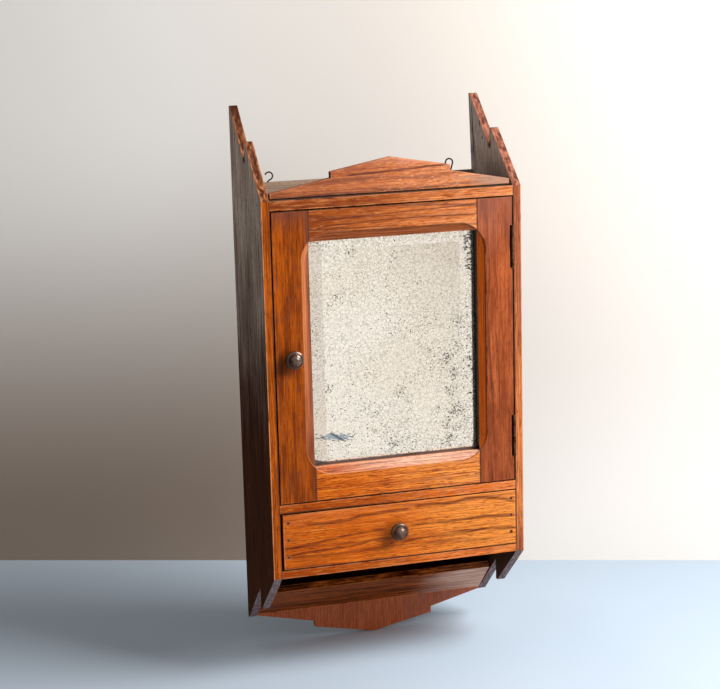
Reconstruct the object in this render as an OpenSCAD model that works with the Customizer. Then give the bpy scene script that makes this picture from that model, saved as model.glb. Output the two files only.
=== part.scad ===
// Small wall cupboard with a mirrored door, a drawer and a letter pocket, in millimetres.
// X runs to the right, Y back to the wall, Z up. The wall is the plane y = 0, and z = 0 is
// the underside of the bottom board, midway between the two side boards.

/* [Case] */
// Width over the two side boards
body_w = 310; // [280:1:360]
// Depth from the wall to the front edges of the case
body_d = 140; // [125:1:180]
// Thickness of the side boards
side_t = 9.5; // [8.5:0.5:12]
// Clear height of the cupboard behind the door
cupboard_h = 342.5; // [300:0.5:440]
// Clear height of the opening for the drawer
drawer_open_h = 69; // [60:1:90]
// Thickness of the top board
top_t = 11; // [10:0.5:14]
// Thickness of the board between door and drawer
middle_t = 10.5; // [9:0.5:14]
// Thickness of the board under the drawer
bottom_t = 9; // [8:0.5:12]
// Thickness of the back board
back_t = 8; // [6:0.5:10]
// Height of the back board's upper edge above the top board
back_lip = 3.5; // [1:0.5:8]

/* [Side board outline] */
// Distance from the front to the tip of the upper tooth
wing_tooth_d = 67; // [50:1:80]
// Height of the upper tooth above the top board
wing_tooth_h = 60.5; // [45:1:75]
// Height of the step behind the upper tooth
wing_drop = 24.5; // [10:1:35]
// Height of the back tip above the top board
wing_h = 96; // [80:1:120]
// Distance that the right wing leans inwards at its tip
wing_lean = 2.6; // [0:0.1:4]
// Distance from the front to the tip of the lower tooth
foot_tooth_d = 66; // [50:1:75]
// Depth of the lower tooth below the bottom board
foot_tooth_h = 57; // [45:1:65]
// Height of the step behind the lower tooth
foot_drop = 25; // [10:1:35]
// Depth of the back tip below the bottom board
foot_h = 91; // [80:1:110]
// Width of the flat on each tooth
tooth_flat = 5; // [2:0.5:8]
// Width of the flat on each back tip
tip_flat = 4; // [2:0.5:8]
// Width and depth of the split in the right back tip
split_s = [2.2, 5.5]; // [1:0.5:8]
// Distance of the split from the inner face of the right side board
split_in = 5.6; // [2:0.1:7]

/* [Crest] */
// Thickness of the crest board
crest_t = 8.5; // [6:0.5:11]
// Distance from the case front to the face of the crest
crest_set = 6; // [3:0.5:15]
// Gap between each end of the crest and the side board
crest_gap = 2.5; // [1:0.5:6]
// Height of the crest at its ends
crest_end_h = 7.5; // [5:0.5:12]
// Height of the crest at the foot of its step
crest_low_h = 21; // [15:0.5:25]
// Height of the crest at the top of its step
crest_high_h = 28; // [26:0.5:34]
// Height of the crest at its peak
crest_peak_h = 41; // [36:0.5:55]
// Half the width of the raised middle of the crest
crest_step_x = 71.5; // [40:0.5:95]
// Height of the shadow line under the crest
crest_reveal_h = 1.8; // [1:0.1:3]
// Depth of the shadow line under the crest
crest_reveal_d = 2; // [1:0.1:3]

/* [Apron] */
// Depth of the apron at its ends below the bottom board
apron_end_h = 89; // [70:1:100]
// Depth of the apron at the head of its step
apron_high_h = 105.5; // [102:0.5:110]
// Depth of the apron at the foot of its step
apron_low_h = 113; // [111:0.5:120]
// Depth of the apron at its point
apron_peak_h = 128; // [122:0.5:145]
// Half the width of the middle of the apron
apron_step_x = 76; // [40:0.5:95]
// Distance of the apron's point from the middle of the case
apron_shift = 4; // [-8:0.5:8]

/* [Letter pocket] */
// Thickness of the sloping pocket board
pocket_t = 8.5; // [5:0.5:9]
// Width of the pocket board along its slope
pocket_w = 54; // [40:1:62]
// Distance of the pocket board inside the slope of the side boards
pocket_inset = 1.8; // [0.5:0.1:4]
// Depth of the pocket board's lower edge under the line of its slope
pocket_sag = 2.4; // [0:0.1:2.4]
// Gap between each end of the pocket board and the side board
pocket_gap = 0.8; // [0.3:0.1:2]

/* [Shelf] */
// Thickness of the shelf
shelf_t = 8; // [6:0.5:12]
// Height of the shelf above the middle board
shelf_up = 168; // [100:1:220]
// Distance from the case front to the shelf
shelf_set = 26; // [24:1:50]
// Width and height of the shelf cleats
cleat_s = [8, 10]; // [5:1:12]
// Distance of each cleat's end behind the shelf's front edge
cleat_set = 4; // [2:1:15]
// Width and height of the strip that stops the door
stop_s = [8, 8]; // [5:1:10]
// Length of the strip that stops the door
stop_w = 220; // [150:1:240]

/* [Door] */
// Thickness of the door frame
door_t = 18; // [16:0.5:22]
// Gap at the sides and the top of the door
door_gap = 1.5; // [1.2:0.1:2.5]
// Gap under the door
door_foot_gap = 1.2; // [0.6:0.1:2.5]
// Width of the stiles
stile_w = 43; // [38:0.5:50]
// Width of the top rail
rail_top_w = 36.5; // [32:0.5:50]
// Width of the bottom rail
rail_bottom_w = 40; // [32:0.5:55]
// Depth of the small step round the moulding
quirk_d = 1.2; // [0.5:0.1:2]
// Width of the moulding's slope
mould_w = 9.5; // [6:0.5:11]
// Depth of the moulding at the glass opening
mould_d = 3.5; // [2.5:0.1:5]
// Thickness of the tenons
tenon_t = 5.5; // [4:0.5:6]
// Length of the tenons
tenon_l = 28; // [15:1:32]
// Shoulder above and below each tenon
tenon_shoulder = 7; // [4:1:10]
// Clearance round the tenons and in the grooves
joint_fit = 0.1; // [0.05:0.05:0.3]

/* [Mirror] */
// Depth from the door face to the face of the glass
glass_set = 10.5; // [9.5:0.1:11]
// Thickness of the glass
glass_t = 3.4; // [3:0.1:4]
// Width of the bevel on the glass
bevel_w = 21; // [10:1:26]
// Fall of the bevel to the edge of the glass
bevel_d = 1.5; // [0.5:0.1:2]
// Width of the rebate in the stiles
rebate_side = 4; // [3:0.5:8]
// Width of the rebate in the rails
rebate_end = 9; // [4:0.5:12]
// Clearance round the glass in its rebate
glass_gap = 0.5; // [0.3:0.1:1]
// Thickness of the wooden backing panel
backing_t = 2.5; // [1.5:0.1:3]
// Radius of the brads that hold the backing
brad_r = 0.6; // [0.4:0.05:0.8]
// Length of the brads
brad_l = 12; // [8:1:16]

/* [Hinges] */
// Height of each hinge
hinge_h = 50; // [40:1:60]
// Distance from the door's top edge to the upper hinge
hinge_top = 33.5; // [20:0.5:60]
// Distance from the door's bottom edge to the lower hinge
hinge_bottom = 29; // [20:0.5:60]
// Radius of the hinge barrel
barrel_r = 1.6; // [1.5:0.1:1.8]
// Radius of the hinge pin
pin_r = 0.8; // [0.6:0.05:0.9]
// Radial clearance of the pin in its knuckles
pin_fit = 0.05; // [0.02:0.01:0.1]
// Distance of the hinge axis from the side board
axis_in = 1; // [0.8:0.1:1.1]
// Distance of the hinge axis in front of the case
axis_out = 0.3; // [0.2:0.1:0.5]
// Thickness of the leaves
leaf_t = 1.1; // [1:0.1:1.4]
// Width of the leaves
leaf_w = 14; // [12:0.5:15]
// Number of knuckles in a hinge
knuckles = 5; // [3:2:7]
// Gap between neighbouring knuckles
knuckle_gap = 0.3; // [0.2:0.05:0.5]
// Clearance between a barrel and what it turns past
barrel_gap = 0.4; // [0.3:0.05:0.6]
// Width and depth of the hollow cut beside the barrel in the stile
hollow_s = [3.2, 4]; // [2:0.1:5]

/* [Drawer] */
// Thickness of the drawer front
drawer_front_t = 10; // [8:0.5:14]
// Gap above the drawer front
drawer_top_gap = 1.8; // [0.8:0.1:3]
// Gaps at the left and right ends of the drawer front
drawer_end_gap = [3.3, 0.7]; // [0.4:0.1:4]
// Gap under the drawer front
drawer_foot_gap = 0.8; // [0.4:0.1:2]
// Running clearance of the drawer box
run_gap = 0.3; // [0.2:0.05:0.6]
// Thickness of the drawer sides
drawer_side_t = 9; // [7:0.5:12]
// Height of the drawer sides
drawer_side_h = 60; // [45:1:64]
// Distances of the outer front nails from the lower and upper edges of the drawer front
front_nail_in = [15.4, 9.6]; // [6:0.1:20]
// Thickness of the drawer back
drawer_back_t = 8; // [6:0.5:10]
// Thickness of the drawer bottom
drawer_bottom_t = 4; // [3:0.5:6]
// Height of the drawer bottom above the lower edge of the sides
groove_up = 4; // [3:0.5:8]
// Depth of the grooves for the drawer bottom
groove_d = 3; // [2:0.5:4]
// Clearance behind the closed drawer
drawer_rear_gap = 2; // [1:0.5:10]

/* [Knobs] */
// Diameter of the knobs
knob_d = 21.5; // [16:0.5:26]
// Radius of the rounded rim of a knob
rim_r = 2.6; // [1.5:0.1:3.5]
// Distance from the wood to the middle of the rim
knob_rim_z = 9.5; // [8:0.5:14]
// Height of the dome above the rim
dome_h = 6.5; // [2:0.1:8]
// Radius of the neck
neck_r = 4.2; // [3:0.1:5.5]
// Radius and thickness of the foot of a knob
foot_ring = [6, 1.4]; // [1:0.1:8]
// Distance of the door knob from the door's left edge
door_knob_in = 19.6; // [14:0.1:30]
// Height of the door knob above the door's lower edge
door_knob_up = 170.8; // [100:0.1:230]
// Distance of the drawer knob from the middle of the drawer
drawer_knob_x = -4; // [-40:0.5:40]
// Height of the drawer knob above the drawer front's lower edge
drawer_knob_up = 34.2; // [20:0.1:45]
// Radius of the knob screws
knob_screw_r = 1.5; // [1:0.1:2]
// Radius and height of the heads of the knob screws
knob_head = [3.5, 2]; // [1:0.1:5]
// Depth of the knob screws in the knobs
knob_screw_in = 7; // [4:0.5:8]

/* [Hanging hooks] */
// Distances of the left and right hooks from the outside of the side boards
hook_in = [43, 37.5]; // [30:0.5:70]
// Radius of the hook's wire
wire_r = 0.9; // [0.7:0.05:1.2]
// Radius of the hook's ring along the wire
ring_r = 4.6; // [4:0.1:7]
// Height of the middle of the left and right rings above the back board
ring_up = [7.6, 10.3]; // [6:0.1:14]
// Sideways lean of the left and right rings
ring_lean = [1.4, -2.2]; // [-3:0.1:3]
// Direction of the tips of the left and right rings from their middles
ring_tip = [160, 198]; // [120:1:220]
// Length of a ring, as an angle
ring_sweep = 222; // [180:1:260]
// Length of the screwed shank in the back board
shank_l = 12; // [8:1:20]

/* [Fasteners] */
// Radius and thickness of the nail heads
nail_head = [1.5, 0.9]; // [0.5:0.1:2.5]
// Radius of the nail shanks
nail_r = 0.9; // [0.6:0.05:1.2]
// Depth of the nail heads below the surface
nail_sink = 0.6; // [0.3:0.1:1]
// Length of the nails in the case
case_nail_l = 28; // [24:1:32]
// Length of the nails in thin strips
strip_nail_l = 14; // [12:1:16]
// Distance of the outer nails from the ends of a joint
nail_edge = 20; // [12:1:30]
// Radius of the heads of the leaf screws
screw_head_r = 2; // [1.6:0.1:2.4]
// Radius of the shanks of the leaf screws
screw_r = 1.1; // [0.8:0.05:1.3]
// Length of the screws in the side board
case_screw_l = 7.5; // [5:0.5:8]
// Length of the screws in the stile
door_screw_l = 12; // [8:0.5:16]
// Number of screws in a leaf
leaf_screws = 3; // [2:1:4]
// Number of screws under the crest
crest_screws_n = 3; // [2:1:5]
// Distance between the screws under the crest
crest_screw_pitch = 60; // [40:1:66]
// Radius of the screws under the crest
crest_screw_r = 1.4; // [1:0.1:2]
// Depth of the screws in the crest
crest_screw_in = 14; // [8:1:16]
// Clearance round nails and screws
nail_fit = 0.05; // [0.02:0.01:0.1]

/* [Hidden] */
$fn = 64;
// A cut runs this far past the face that it opens
over = 1;

// Case levels and faces
inner_x = body_w / 2 - side_t;
inner_d = body_d - back_t;
drawer_z = bottom_t;
middle_z = drawer_z + drawer_open_h;
cupboard_z = middle_z + middle_t;
top_z = cupboard_z + cupboard_h;
case_h = top_z + top_t;
shelf_z = cupboard_z + shelf_up;

// Slope of the lower rear edge of the side boards, which the pocket board follows
slope_d = foot_tooth_d + tooth_flat;
slope_h = foot_tooth_h - foot_drop;
slope_a = atan((foot_h - slope_h) / (body_d - tip_flat - slope_d));

// Door outline and glass opening
door_x = inner_x - door_gap;
door_z = cupboard_z + door_foot_gap;
door_top = top_z - door_gap;
sight_x = door_x - stile_w;
sight_z = door_z + rail_bottom_w;
sight_top = door_top - rail_top_w;
sight_mid = (sight_z + sight_top) / 2;
sight_h = (sight_top - sight_z) / 2;
// The moulding's round corners just reach the corners of the glass opening
mould_r = mould_w * (2 + sqrt(2));
// The wood in front of the glass stops just short of the bevel under the arris of the opening
glass_lap = max(rebate_side, rebate_end) - glass_gap;
rebate_floor = glass_set + bevel_d * (1 - min(1, glass_lap / bevel_w)) - joint_fit / 2;
glass_x = sight_x + rebate_side - glass_gap;
glass_z = sight_z - rebate_end + glass_gap;
glass_top = sight_top + rebate_end - glass_gap;
glass_back = glass_set + glass_t;
backing_d = glass_back + joint_fit;
brad_d = backing_d + backing_t + brad_r;
tenon_d = mould_d + (rebate_floor - mould_d - tenon_t) / 2;

// Hinges
axis_x = inner_x - axis_in;
upper_hinge_z = door_top - hinge_top - hinge_h;
lower_hinge_z = door_z + hinge_bottom;
knuckle_l = (hinge_h - (knuckles - 1) * knuckle_gap) / knuckles;
knuckle_step = knuckle_l + knuckle_gap;
clear_d = barrel_r + barrel_gap - axis_out;
screw_d = leaf_w * 0.62;

// Drawer: the ends of its front and box, on the side -1 or 1
function front_end(side) = side * (inner_x - drawer_end_gap[side < 0 ? 0 : 1]);
function box_end(side) = front_end(side) - side * run_gap;
front_z = drawer_z + drawer_foot_gap;
front_top = middle_z - drawer_top_gap;
box_z = drawer_z + run_gap;
box_rear = inner_d - drawer_rear_gap;
bottom_z = box_z + groove_up;

// Hooks
hook_left_x = hook_in[0] - body_w / 2;
hook_right_x = body_w / 2 - hook_in[1];

// Colours
front_wood = [0.76, 0.38, 0.14];
stile_wood = [0.62, 0.28, 0.13];
aged_wood = [0.32, 0.24, 0.19];
inside_wood = [0.45, 0.29, 0.18];
old_brass = [0.48, 0.38, 0.25];
old_iron = [0.12, 0.11, 0.10];
dark_bronze = [0.27, 0.19, 0.15];

function yd(d) = d - body_d;
function spread(first, last, n) = [for (i = [0 : n - 1]) first + i * (last - first) / (n - 1)];

// A board between two x, two distances from the case front and two heights
module slab(x, d, z) {
    translate([x[0], yd(d[0]), z[0]])
        cube([x[1] - x[0], d[1] - d[0], z[1] - z[0]]);
}

// Sets a child that points down to be driven from a point in a direction
module drive(point, turn) {
    translate(point) rotate(turn) children();
}
to_right = [0, -90, 0];
to_left = [0, 90, 0];
to_back = [90, 0, 0];
to_front = [-90, 0, 0];
to_top = [180, 0, 0];

// A nail driven down from the surface, with its head punched under it
module nail(l, grow = 0) {
    head_top = grow > 0 ? over : -nail_sink;
    translate([0, 0, -nail_sink - nail_head[1]])
        cylinder(r = nail_head[0] + grow, h = head_top + nail_sink + nail_head[1]);
    translate([0, 0, -l]) cylinder(r = nail_r + grow, h = l - nail_sink);
}

// A countersunk screw driven down, with its head flush with the surface
module wood_screw(l, head_r, shank_r, grow = 0) {
    sink = head_r - shank_r;
    translate([0, 0, -sink]) cylinder(r1 = shank_r + grow, r2 = head_r + grow, h = sink);
    translate([0, 0, -l]) cylinder(r = shank_r + grow, h = l);
}

// Case nails

board_mid_z = [bottom_t / 2, middle_z + middle_t / 2, top_z + top_t / 2];
board_nail_d = spread(nail_edge, inner_d - nail_edge, 3);
back_nail_x = spread(-inner_x + 1.5 * nail_edge, inner_x - 1.5 * nail_edge, 3);

// Distance from the front and height of a point of the pocket board: run along its slope
// from the back board, and up from its outer face
function pocket_point(run, up) = [
    inner_d - run * cos(slope_a) + up * sin(slope_a),
    -slope_h - (inner_d - slope_d) * tan(slope_a) + pocket_inset / cos(slope_a)
        + run * sin(slope_a) + up * cos(slope_a)];

// Nails driven through one side board: side is -1 on the left and 1 on the right
module side_nails(side, grow = 0) {
    turn = side < 0 ? to_right : to_left;
    for (z = board_mid_z, d = board_nail_d)
        drive([side * body_w / 2, yd(d), z], turn) nail(case_nail_l, grow);
    for (share = [0.3, 0.75]) {
        p = pocket_point(pocket_w * share, pocket_t / 2);
        drive([side * body_w / 2, yd(p[0]), p[1]], turn) nail(case_nail_l, grow);
    }
}

module back_nail_set(grow = 0) {
    for (x = back_nail_x, z = board_mid_z)
        drive([x, 0, z], to_front) nail(case_nail_l, grow);
}

module crest_screw_set(grow = 0) {
    half = crest_screw_pitch * (crest_screws_n - 1) / 2;
    for (x = spread(-half, half, crest_screws_n))
        drive([x, yd(crest_set + crest_t / 2), top_z], to_top)
            wood_screw(top_t + crest_screw_in, 2 * crest_screw_r, crest_screw_r, grow);
}

cleat_d = [shelf_set + cleat_set, inner_d];
module cleat_nail_set(side, grow = 0) {
    turn = side < 0 ? to_left : to_right;
    for (d = spread(cleat_d[0] + nail_edge / 2, cleat_d[1] - nail_edge, 2))
        drive([side * (inner_x - cleat_s[0]), yd(d), shelf_z - cleat_s[1] / 2], turn)
            nail(strip_nail_l, grow);
}

stop_d = door_t + run_gap;
module stop_nail_set(grow = 0) {
    for (x = spread(-stop_w / 2 + nail_edge, stop_w / 2 - nail_edge, 3))
        drive([x, yd(stop_d + stop_s[0] / 2), top_z - stop_s[1]], to_top)
            nail(strip_nail_l, grow);
}

// Case boards

module side_outline() {
    polygon([
        [yd(0), 0],
        [yd(0), case_h],
        [yd(wing_tooth_d), case_h + wing_tooth_h],
        [yd(wing_tooth_d + tooth_flat), case_h + wing_tooth_h],
        [yd(wing_tooth_d + tooth_flat), case_h + wing_tooth_h - wing_drop],
        [-tip_flat, case_h + wing_h],
        [0, case_h + wing_h],
        [0, -foot_h],
        [-tip_flat, -foot_h],
        [yd(slope_d), -slope_h],
        [yd(slope_d), -foot_tooth_h],
        [yd(foot_tooth_d), -foot_tooth_h]]);
}

// The front view of a side board: it leans inwards from the upper edge of the back board
module side_front(lean) {
    lean_z = case_h + back_lip;
    polygon([
        [inner_x, -foot_h], [inner_x, lean_z], [inner_x - lean, case_h + wing_h],
        [body_w / 2 - lean, case_h + wing_h], [body_w / 2, lean_z], [body_w / 2, -foot_h]]);
}

module side_board(side, lean = 0) {
    difference() {
        mirror([side < 0 ? 1 : 0, 0, 0]) intersection() {
            translate([inner_x - lean, 0, 0])
                rotate([90, 0, 90]) linear_extrude(side_t + lean) side_outline();
            rotate([90, 0, 0]) linear_extrude(body_d) side_front(lean);
        }
        side_nails(side, nail_fit);
        cleat_nail_set(side, nail_fit);
    }
}

module side_board_left() {
    color(aged_wood) side_board(-1);
}

// A split in the end grain of the right back tip, open at the top
module tip_split() {
    w = split_s[0] / 2;
    translate([inner_x + split_in - wing_lean, over, case_h + wing_h]) rotate([90, 0, 0])
        linear_extrude(tip_flat + 2 * split_s[1] + over)
            polygon([[-w, over], [-w, 0], [0, -split_s[1]], [w, 0], [w, over]]);
}

module side_board_right() {
    color(aged_wood) difference() {
        side_board(1, wing_lean);
        hinge_mortise(upper_hinge_z);
        hinge_mortise(lower_hinge_z);
        leaf_screw_set(upper_hinge_z, 1, nail_fit);
        leaf_screw_set(lower_hinge_z, 1, nail_fit);
        tip_split();
    }
}

module top_board() {
    color(front_wood) difference() {
        slab([-inner_x, inner_x], [0, inner_d], [top_z, case_h]);
        side_nails(-1, nail_fit);
        side_nails(1, nail_fit);
        back_nail_set(nail_fit);
        crest_screw_set(nail_fit);
        stop_nail_set(nail_fit);
    }
}

module middle_board() {
    color(front_wood) difference() {
        slab([-inner_x, inner_x], [0, inner_d], [middle_z, cupboard_z]);
        side_nails(-1, nail_fit);
        side_nails(1, nail_fit);
        back_nail_set(nail_fit);
    }
}

module bottom_board() {
    color(front_wood) difference() {
        slab([-inner_x, inner_x], [0, inner_d], [0, bottom_t]);
        side_nails(-1, nail_fit);
        side_nails(1, nail_fit);
        back_nail_set(nail_fit);
    }
}

module back_outline() {
    polygon([
        [-inner_x, case_h + back_lip],
        [-inner_x, -apron_end_h],
        [apron_shift - apron_step_x, -apron_high_h],
        [apron_shift - apron_step_x, -apron_low_h],
        [apron_shift, -apron_peak_h],
        [apron_shift + apron_step_x, -apron_low_h],
        [apron_shift + apron_step_x, -apron_high_h],
        [inner_x, -apron_end_h],
        [inner_x, case_h + back_lip]]);
}

module back_board() {
    color(aged_wood) difference() {
        rotate([90, 0, 0]) linear_extrude(back_t) back_outline();
        back_nail_set(nail_fit);
        hook_bore(hook_left_x);
        hook_bore(hook_right_x);
    }
}

module crest_outline() {
    end_x = inner_x - crest_gap;
    polygon([
        [-end_x, 0], [-end_x, crest_end_h],
        [-crest_step_x, crest_low_h], [-crest_step_x, crest_high_h],
        [0, crest_peak_h],
        [crest_step_x, crest_high_h], [crest_step_x, crest_low_h],
        [end_x, crest_end_h], [end_x, 0]]);
}

module crest_board() {
    color(front_wood) difference() {
        translate([0, yd(crest_set + crest_t), case_h])
            rotate([90, 0, 0]) linear_extrude(crest_t) crest_outline();
        slab([-body_w, body_w], [crest_set - over, crest_set + crest_reveal_d],
            [case_h - over, case_h + crest_reveal_h]);
        crest_screw_set(nail_fit);
    }
}

module pocket_front() {
    half = inner_x - pocket_gap;
    outer_top = pocket_point(pocket_w, 0);
    inner_top = pocket_point(pocket_w, pocket_t);
    outer_foot = pocket_point(0, 0) - [0, pocket_sag];
    inner_foot_z = outer_foot[1] + pocket_t / cos(slope_a);
    color(inside_wood) difference() {
        translate([-half, 0, 0]) rotate([90, 0, 90]) linear_extrude(2 * half)
            polygon([
                [yd(outer_top[0]), outer_top[1]],
                [yd(outer_foot[0]), outer_foot[1]],
                [yd(outer_foot[0]), inner_foot_z],
                [yd(inner_top[0]), inner_top[1]]]);
        side_nails(-1, nail_fit);
        side_nails(1, nail_fit);
    }
}

module shelf() {
    color(inside_wood)
        slab([-inner_x, inner_x], [shelf_set, inner_d], [shelf_z, shelf_z + shelf_t]);
}

module shelf_cleat(side) {
    near = side * (inner_x - cleat_s[0]);
    far = side * inner_x;
    color(inside_wood) difference() {
        slab([min(near, far), max(near, far)], cleat_d, [shelf_z - cleat_s[1], shelf_z]);
        cleat_nail_set(side, nail_fit);
    }
}

module shelf_cleat_left() {
    shelf_cleat(-1);
}

module shelf_cleat_right() {
    shelf_cleat(1);
}

module door_stop() {
    color(inside_wood) difference() {
        slab([-stop_w / 2, stop_w / 2], [stop_d, stop_d + stop_s[0]], [top_z - stop_s[1], top_z]);
        stop_nail_set(nail_fit);
    }
}

// Hooks in the upper edge of the back board

module hook_bore(x) {
    translate([x, -back_t / 2, case_h + back_lip - shank_l])
        cylinder(r = wire_r + nail_fit, h = shank_l + over);
}

// A round rod between two points
module rod(from, to, r) {
    v = to - from;
    l = norm(v);
    translate(from) rotate([0, acos(v[2] / l), atan2(v[1], v[0])]) cylinder(r = r, h = l);
}

// The wire rises from the shank, leans to the ring and runs round it to an open tip
module hook(x, up, lean, tip_a) {
    start_a = tip_a - ring_sweep;
    neck_z = 1.5 * wire_r;
    bend_r = wire_r * 1.05;
    start = [lean + ring_r * cos(start_a), 0, up + ring_r * sin(start_a)];
    color(old_iron) translate([x, -back_t / 2, case_h + back_lip]) {
        translate([0, 0, -shank_l]) cylinder(r = wire_r, h = shank_l + neck_z);
        translate([0, 0, neck_z]) sphere(r = bend_r);
        rod([0, 0, neck_z], start, wire_r * 0.95);
        translate(start) sphere(r = bend_r);
        translate([lean, 0, up]) rotate([90, 0, 0]) rotate([0, 0, start_a])
            rotate_extrude(angle = ring_sweep) translate([ring_r, 0]) circle(r = wire_r);
    }
}

module hook_left() {
    hook(hook_left_x, ring_up[0], ring_lean[0], ring_tip[0]);
}

module hook_right() {
    hook(hook_right_x, ring_up[1], ring_lean[1], ring_tip[1]);
}

// Hinges: the case leaf has the outer knuckles and the door leaf those between them

module hinge_mortise(z) {
    slab([inner_x - over, inner_x + leaf_t], [-over, leaf_w + joint_fit],
        [z - joint_fit, z + hinge_h + joint_fit]);
}

module door_mortise(z) {
    slab([door_x - leaf_t, door_x + over], [-over, leaf_w + joint_fit],
        [z - joint_fit, z + hinge_h + joint_fit]);
    slab([door_x - hollow_s[0], door_x + over], [-over, hollow_s[1]],
        [z - joint_fit, z + hinge_h + joint_fit]);
}

// Screws of one leaf: side is 1 into the side board and -1 into the stile
module leaf_screw_set(z, side, grow = 0) {
    face_x = side > 0 ? inner_x : door_x;
    l = side > 0 ? case_screw_l : door_screw_l;
    margin = hinge_h / leaf_screws / 2;
    for (up = spread(margin, hinge_h - margin, leaf_screws))
        drive([face_x, yd(screw_d), z + up], side > 0 ? to_right : to_left)
            wood_screw(l, screw_head_r, screw_r, grow);
}

// One leaf: first is the lowest of its knuckles, and every second one is its own
module hinge_leaf(z, side, first) {
    x = side > 0 ? [inner_x, inner_x + leaf_t] : [door_x - leaf_t, door_x];
    color(old_brass) difference() {
        union() {
            slab(x, [clear_d, leaf_w], [z, z + hinge_h]);
            for (i = [first : 2 : knuckles - 1]) {
                up = z + i * knuckle_step;
                slab(x, [0, clear_d], [up, up + knuckle_l]);
                translate([axis_x, yd(-axis_out), up]) cylinder(r = barrel_r, h = knuckle_l);
            }
        }
        translate([axis_x, yd(-axis_out), z - over])
            cylinder(r = pin_r + pin_fit, h = hinge_h + 2 * over);
        leaf_screw_set(z, side, nail_fit);
    }
}

module hinge_pin(z) {
    color(old_brass) translate([axis_x, yd(-axis_out), z]) cylinder(r = pin_r, h = hinge_h);
}

module upper_hinge_case_leaf() {
    hinge_leaf(upper_hinge_z, 1, 0);
}

module lower_hinge_case_leaf() {
    hinge_leaf(lower_hinge_z, 1, 0);
}

module upper_hinge_door_leaf() {
    hinge_leaf(upper_hinge_z, -1, 1);
}

module lower_hinge_door_leaf() {
    hinge_leaf(lower_hinge_z, -1, 1);
}

module upper_hinge_pin() {
    hinge_pin(upper_hinge_z);
}

module lower_hinge_pin() {
    hinge_pin(lower_hinge_z);
}

module case_leaf_screws() {
    color(old_iron) {
        leaf_screw_set(upper_hinge_z, 1);
        leaf_screw_set(lower_hinge_z, 1);
    }
}

module door_leaf_screws() {
    color(old_iron) {
        leaf_screw_set(upper_hinge_z, -1);
        leaf_screw_set(lower_hinge_z, -1);
    }
}

// Fasteners of the case as nodes

module side_nails_left() {
    color(old_iron) side_nails(-1);
}

module side_nails_right() {
    color(old_iron) side_nails(1);
}

module back_nails() {
    color(old_iron) back_nail_set();
}

module crest_screws() {
    color(old_iron) crest_screw_set();
}

module cleat_nails() {
    color(old_iron) {
        cleat_nail_set(-1);
        cleat_nail_set(1);
    }
}

module stop_nails() {
    color(old_iron) stop_nail_set();
}

// Door frame

// Section of the moulding cut: half is the half width of the opening at the glass
function mould_section(half) = [
    [-(half + mould_w), -over], [half + mould_w, -over], [half + mould_w, quirk_d],
    [half, mould_d], [-half, mould_d], [-(half + mould_w), quirk_d]];

// The cut that leaves a step and a slope round the glass opening, with round corners
module moulding_cut() {
    bar_x = sight_x + mould_w - mould_r;
    bar_h = sight_h + mould_w - mould_r;
    translate([0, yd(0), sight_mid]) rotate([-90, 0, 0]) {
        rotate([90, 0, 90]) translate([0, 0, -bar_x]) linear_extrude(2 * bar_x)
            polygon(mould_section(sight_h));
        rotate([90, 0, 0]) translate([0, 0, -bar_h]) linear_extrude(2 * bar_h)
            polygon(mould_section(sight_x));
        for (x = [-bar_x, bar_x], y = [-bar_h, bar_h])
            translate([x, y, 0]) rotate_extrude()
                polygon([[0, -over], [mould_r, -over], [mould_r, quirk_d],
                    [mould_r - mould_w, mould_d], [0, mould_d]]);
    }
}

module rebate_cut() {
    slab([-sight_x - rebate_side, sight_x + rebate_side], [rebate_floor, door_t + over],
        [sight_z - rebate_end, sight_top + rebate_end]);
}

// Tenons of both rails at both ends, as solids or, with a clearance, as mortises
module tenons(rail, grow = 0) {
    low = rail > 0 ? sight_top : door_z;
    high = rail > 0 ? door_top : sight_z;
    reach = sight_x + tenon_l + grow;
    slab([-reach, reach], [tenon_d - grow, tenon_d + tenon_t + grow],
        [low + tenon_shoulder - grow, high - tenon_shoulder + grow]);
}

module brad_set(grow = 0) {
    side_z = spread(glass_z + 2 * nail_edge, glass_top - 2 * nail_edge, 3);
    end_x = spread(-glass_x + 2 * nail_edge, glass_x - 2 * nail_edge, 2);
    wall_x = sight_x + rebate_side;
    half = brad_l / 2;
    for (s = [-1, 1], z = side_z)
        translate([s * wall_x, yd(brad_d), z]) rotate([0, 90, 0])
            cylinder(r = brad_r + grow, h = brad_l, center = true, $fn = 24);
    for (x = end_x, z = [sight_z - rebate_end, sight_top + rebate_end])
        translate([x, yd(brad_d), z])
            cylinder(r = brad_r + grow, h = brad_l, center = true, $fn = 24);
}

module door_stile(side) {
    near = side * sight_x;
    far = side * door_x;
    difference() {
        slab([min(near, far), max(near, far)], [0, door_t], [door_z, door_top]);
        moulding_cut();
        rebate_cut();
        tenons(-1, joint_fit);
        tenons(1, joint_fit);
        brad_set(nail_fit);
    }
}

module door_stile_left() {
    color(stile_wood) difference() {
        door_stile(-1);
        knob_bore([door_knob_x, yd(0), door_knob_z], door_t);
    }
}

module door_stile_right() {
    color(stile_wood) difference() {
        door_stile(1);
        door_mortise(upper_hinge_z);
        door_mortise(lower_hinge_z);
        leaf_screw_set(upper_hinge_z, -1, nail_fit);
        leaf_screw_set(lower_hinge_z, -1, nail_fit);
    }
}

module door_rail(rail) {
    low = rail > 0 ? sight_top : door_z;
    high = rail > 0 ? door_top : sight_z;
    color(front_wood) difference() {
        union() {
            slab([-sight_x, sight_x], [0, door_t], [low, high]);
            tenons(rail);
        }
        moulding_cut();
        rebate_cut();
        brad_set(nail_fit);
    }
}

module door_rail_top() {
    door_rail(1);
}

module door_rail_bottom() {
    door_rail(-1);
}

// Mirror and its backing

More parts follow.
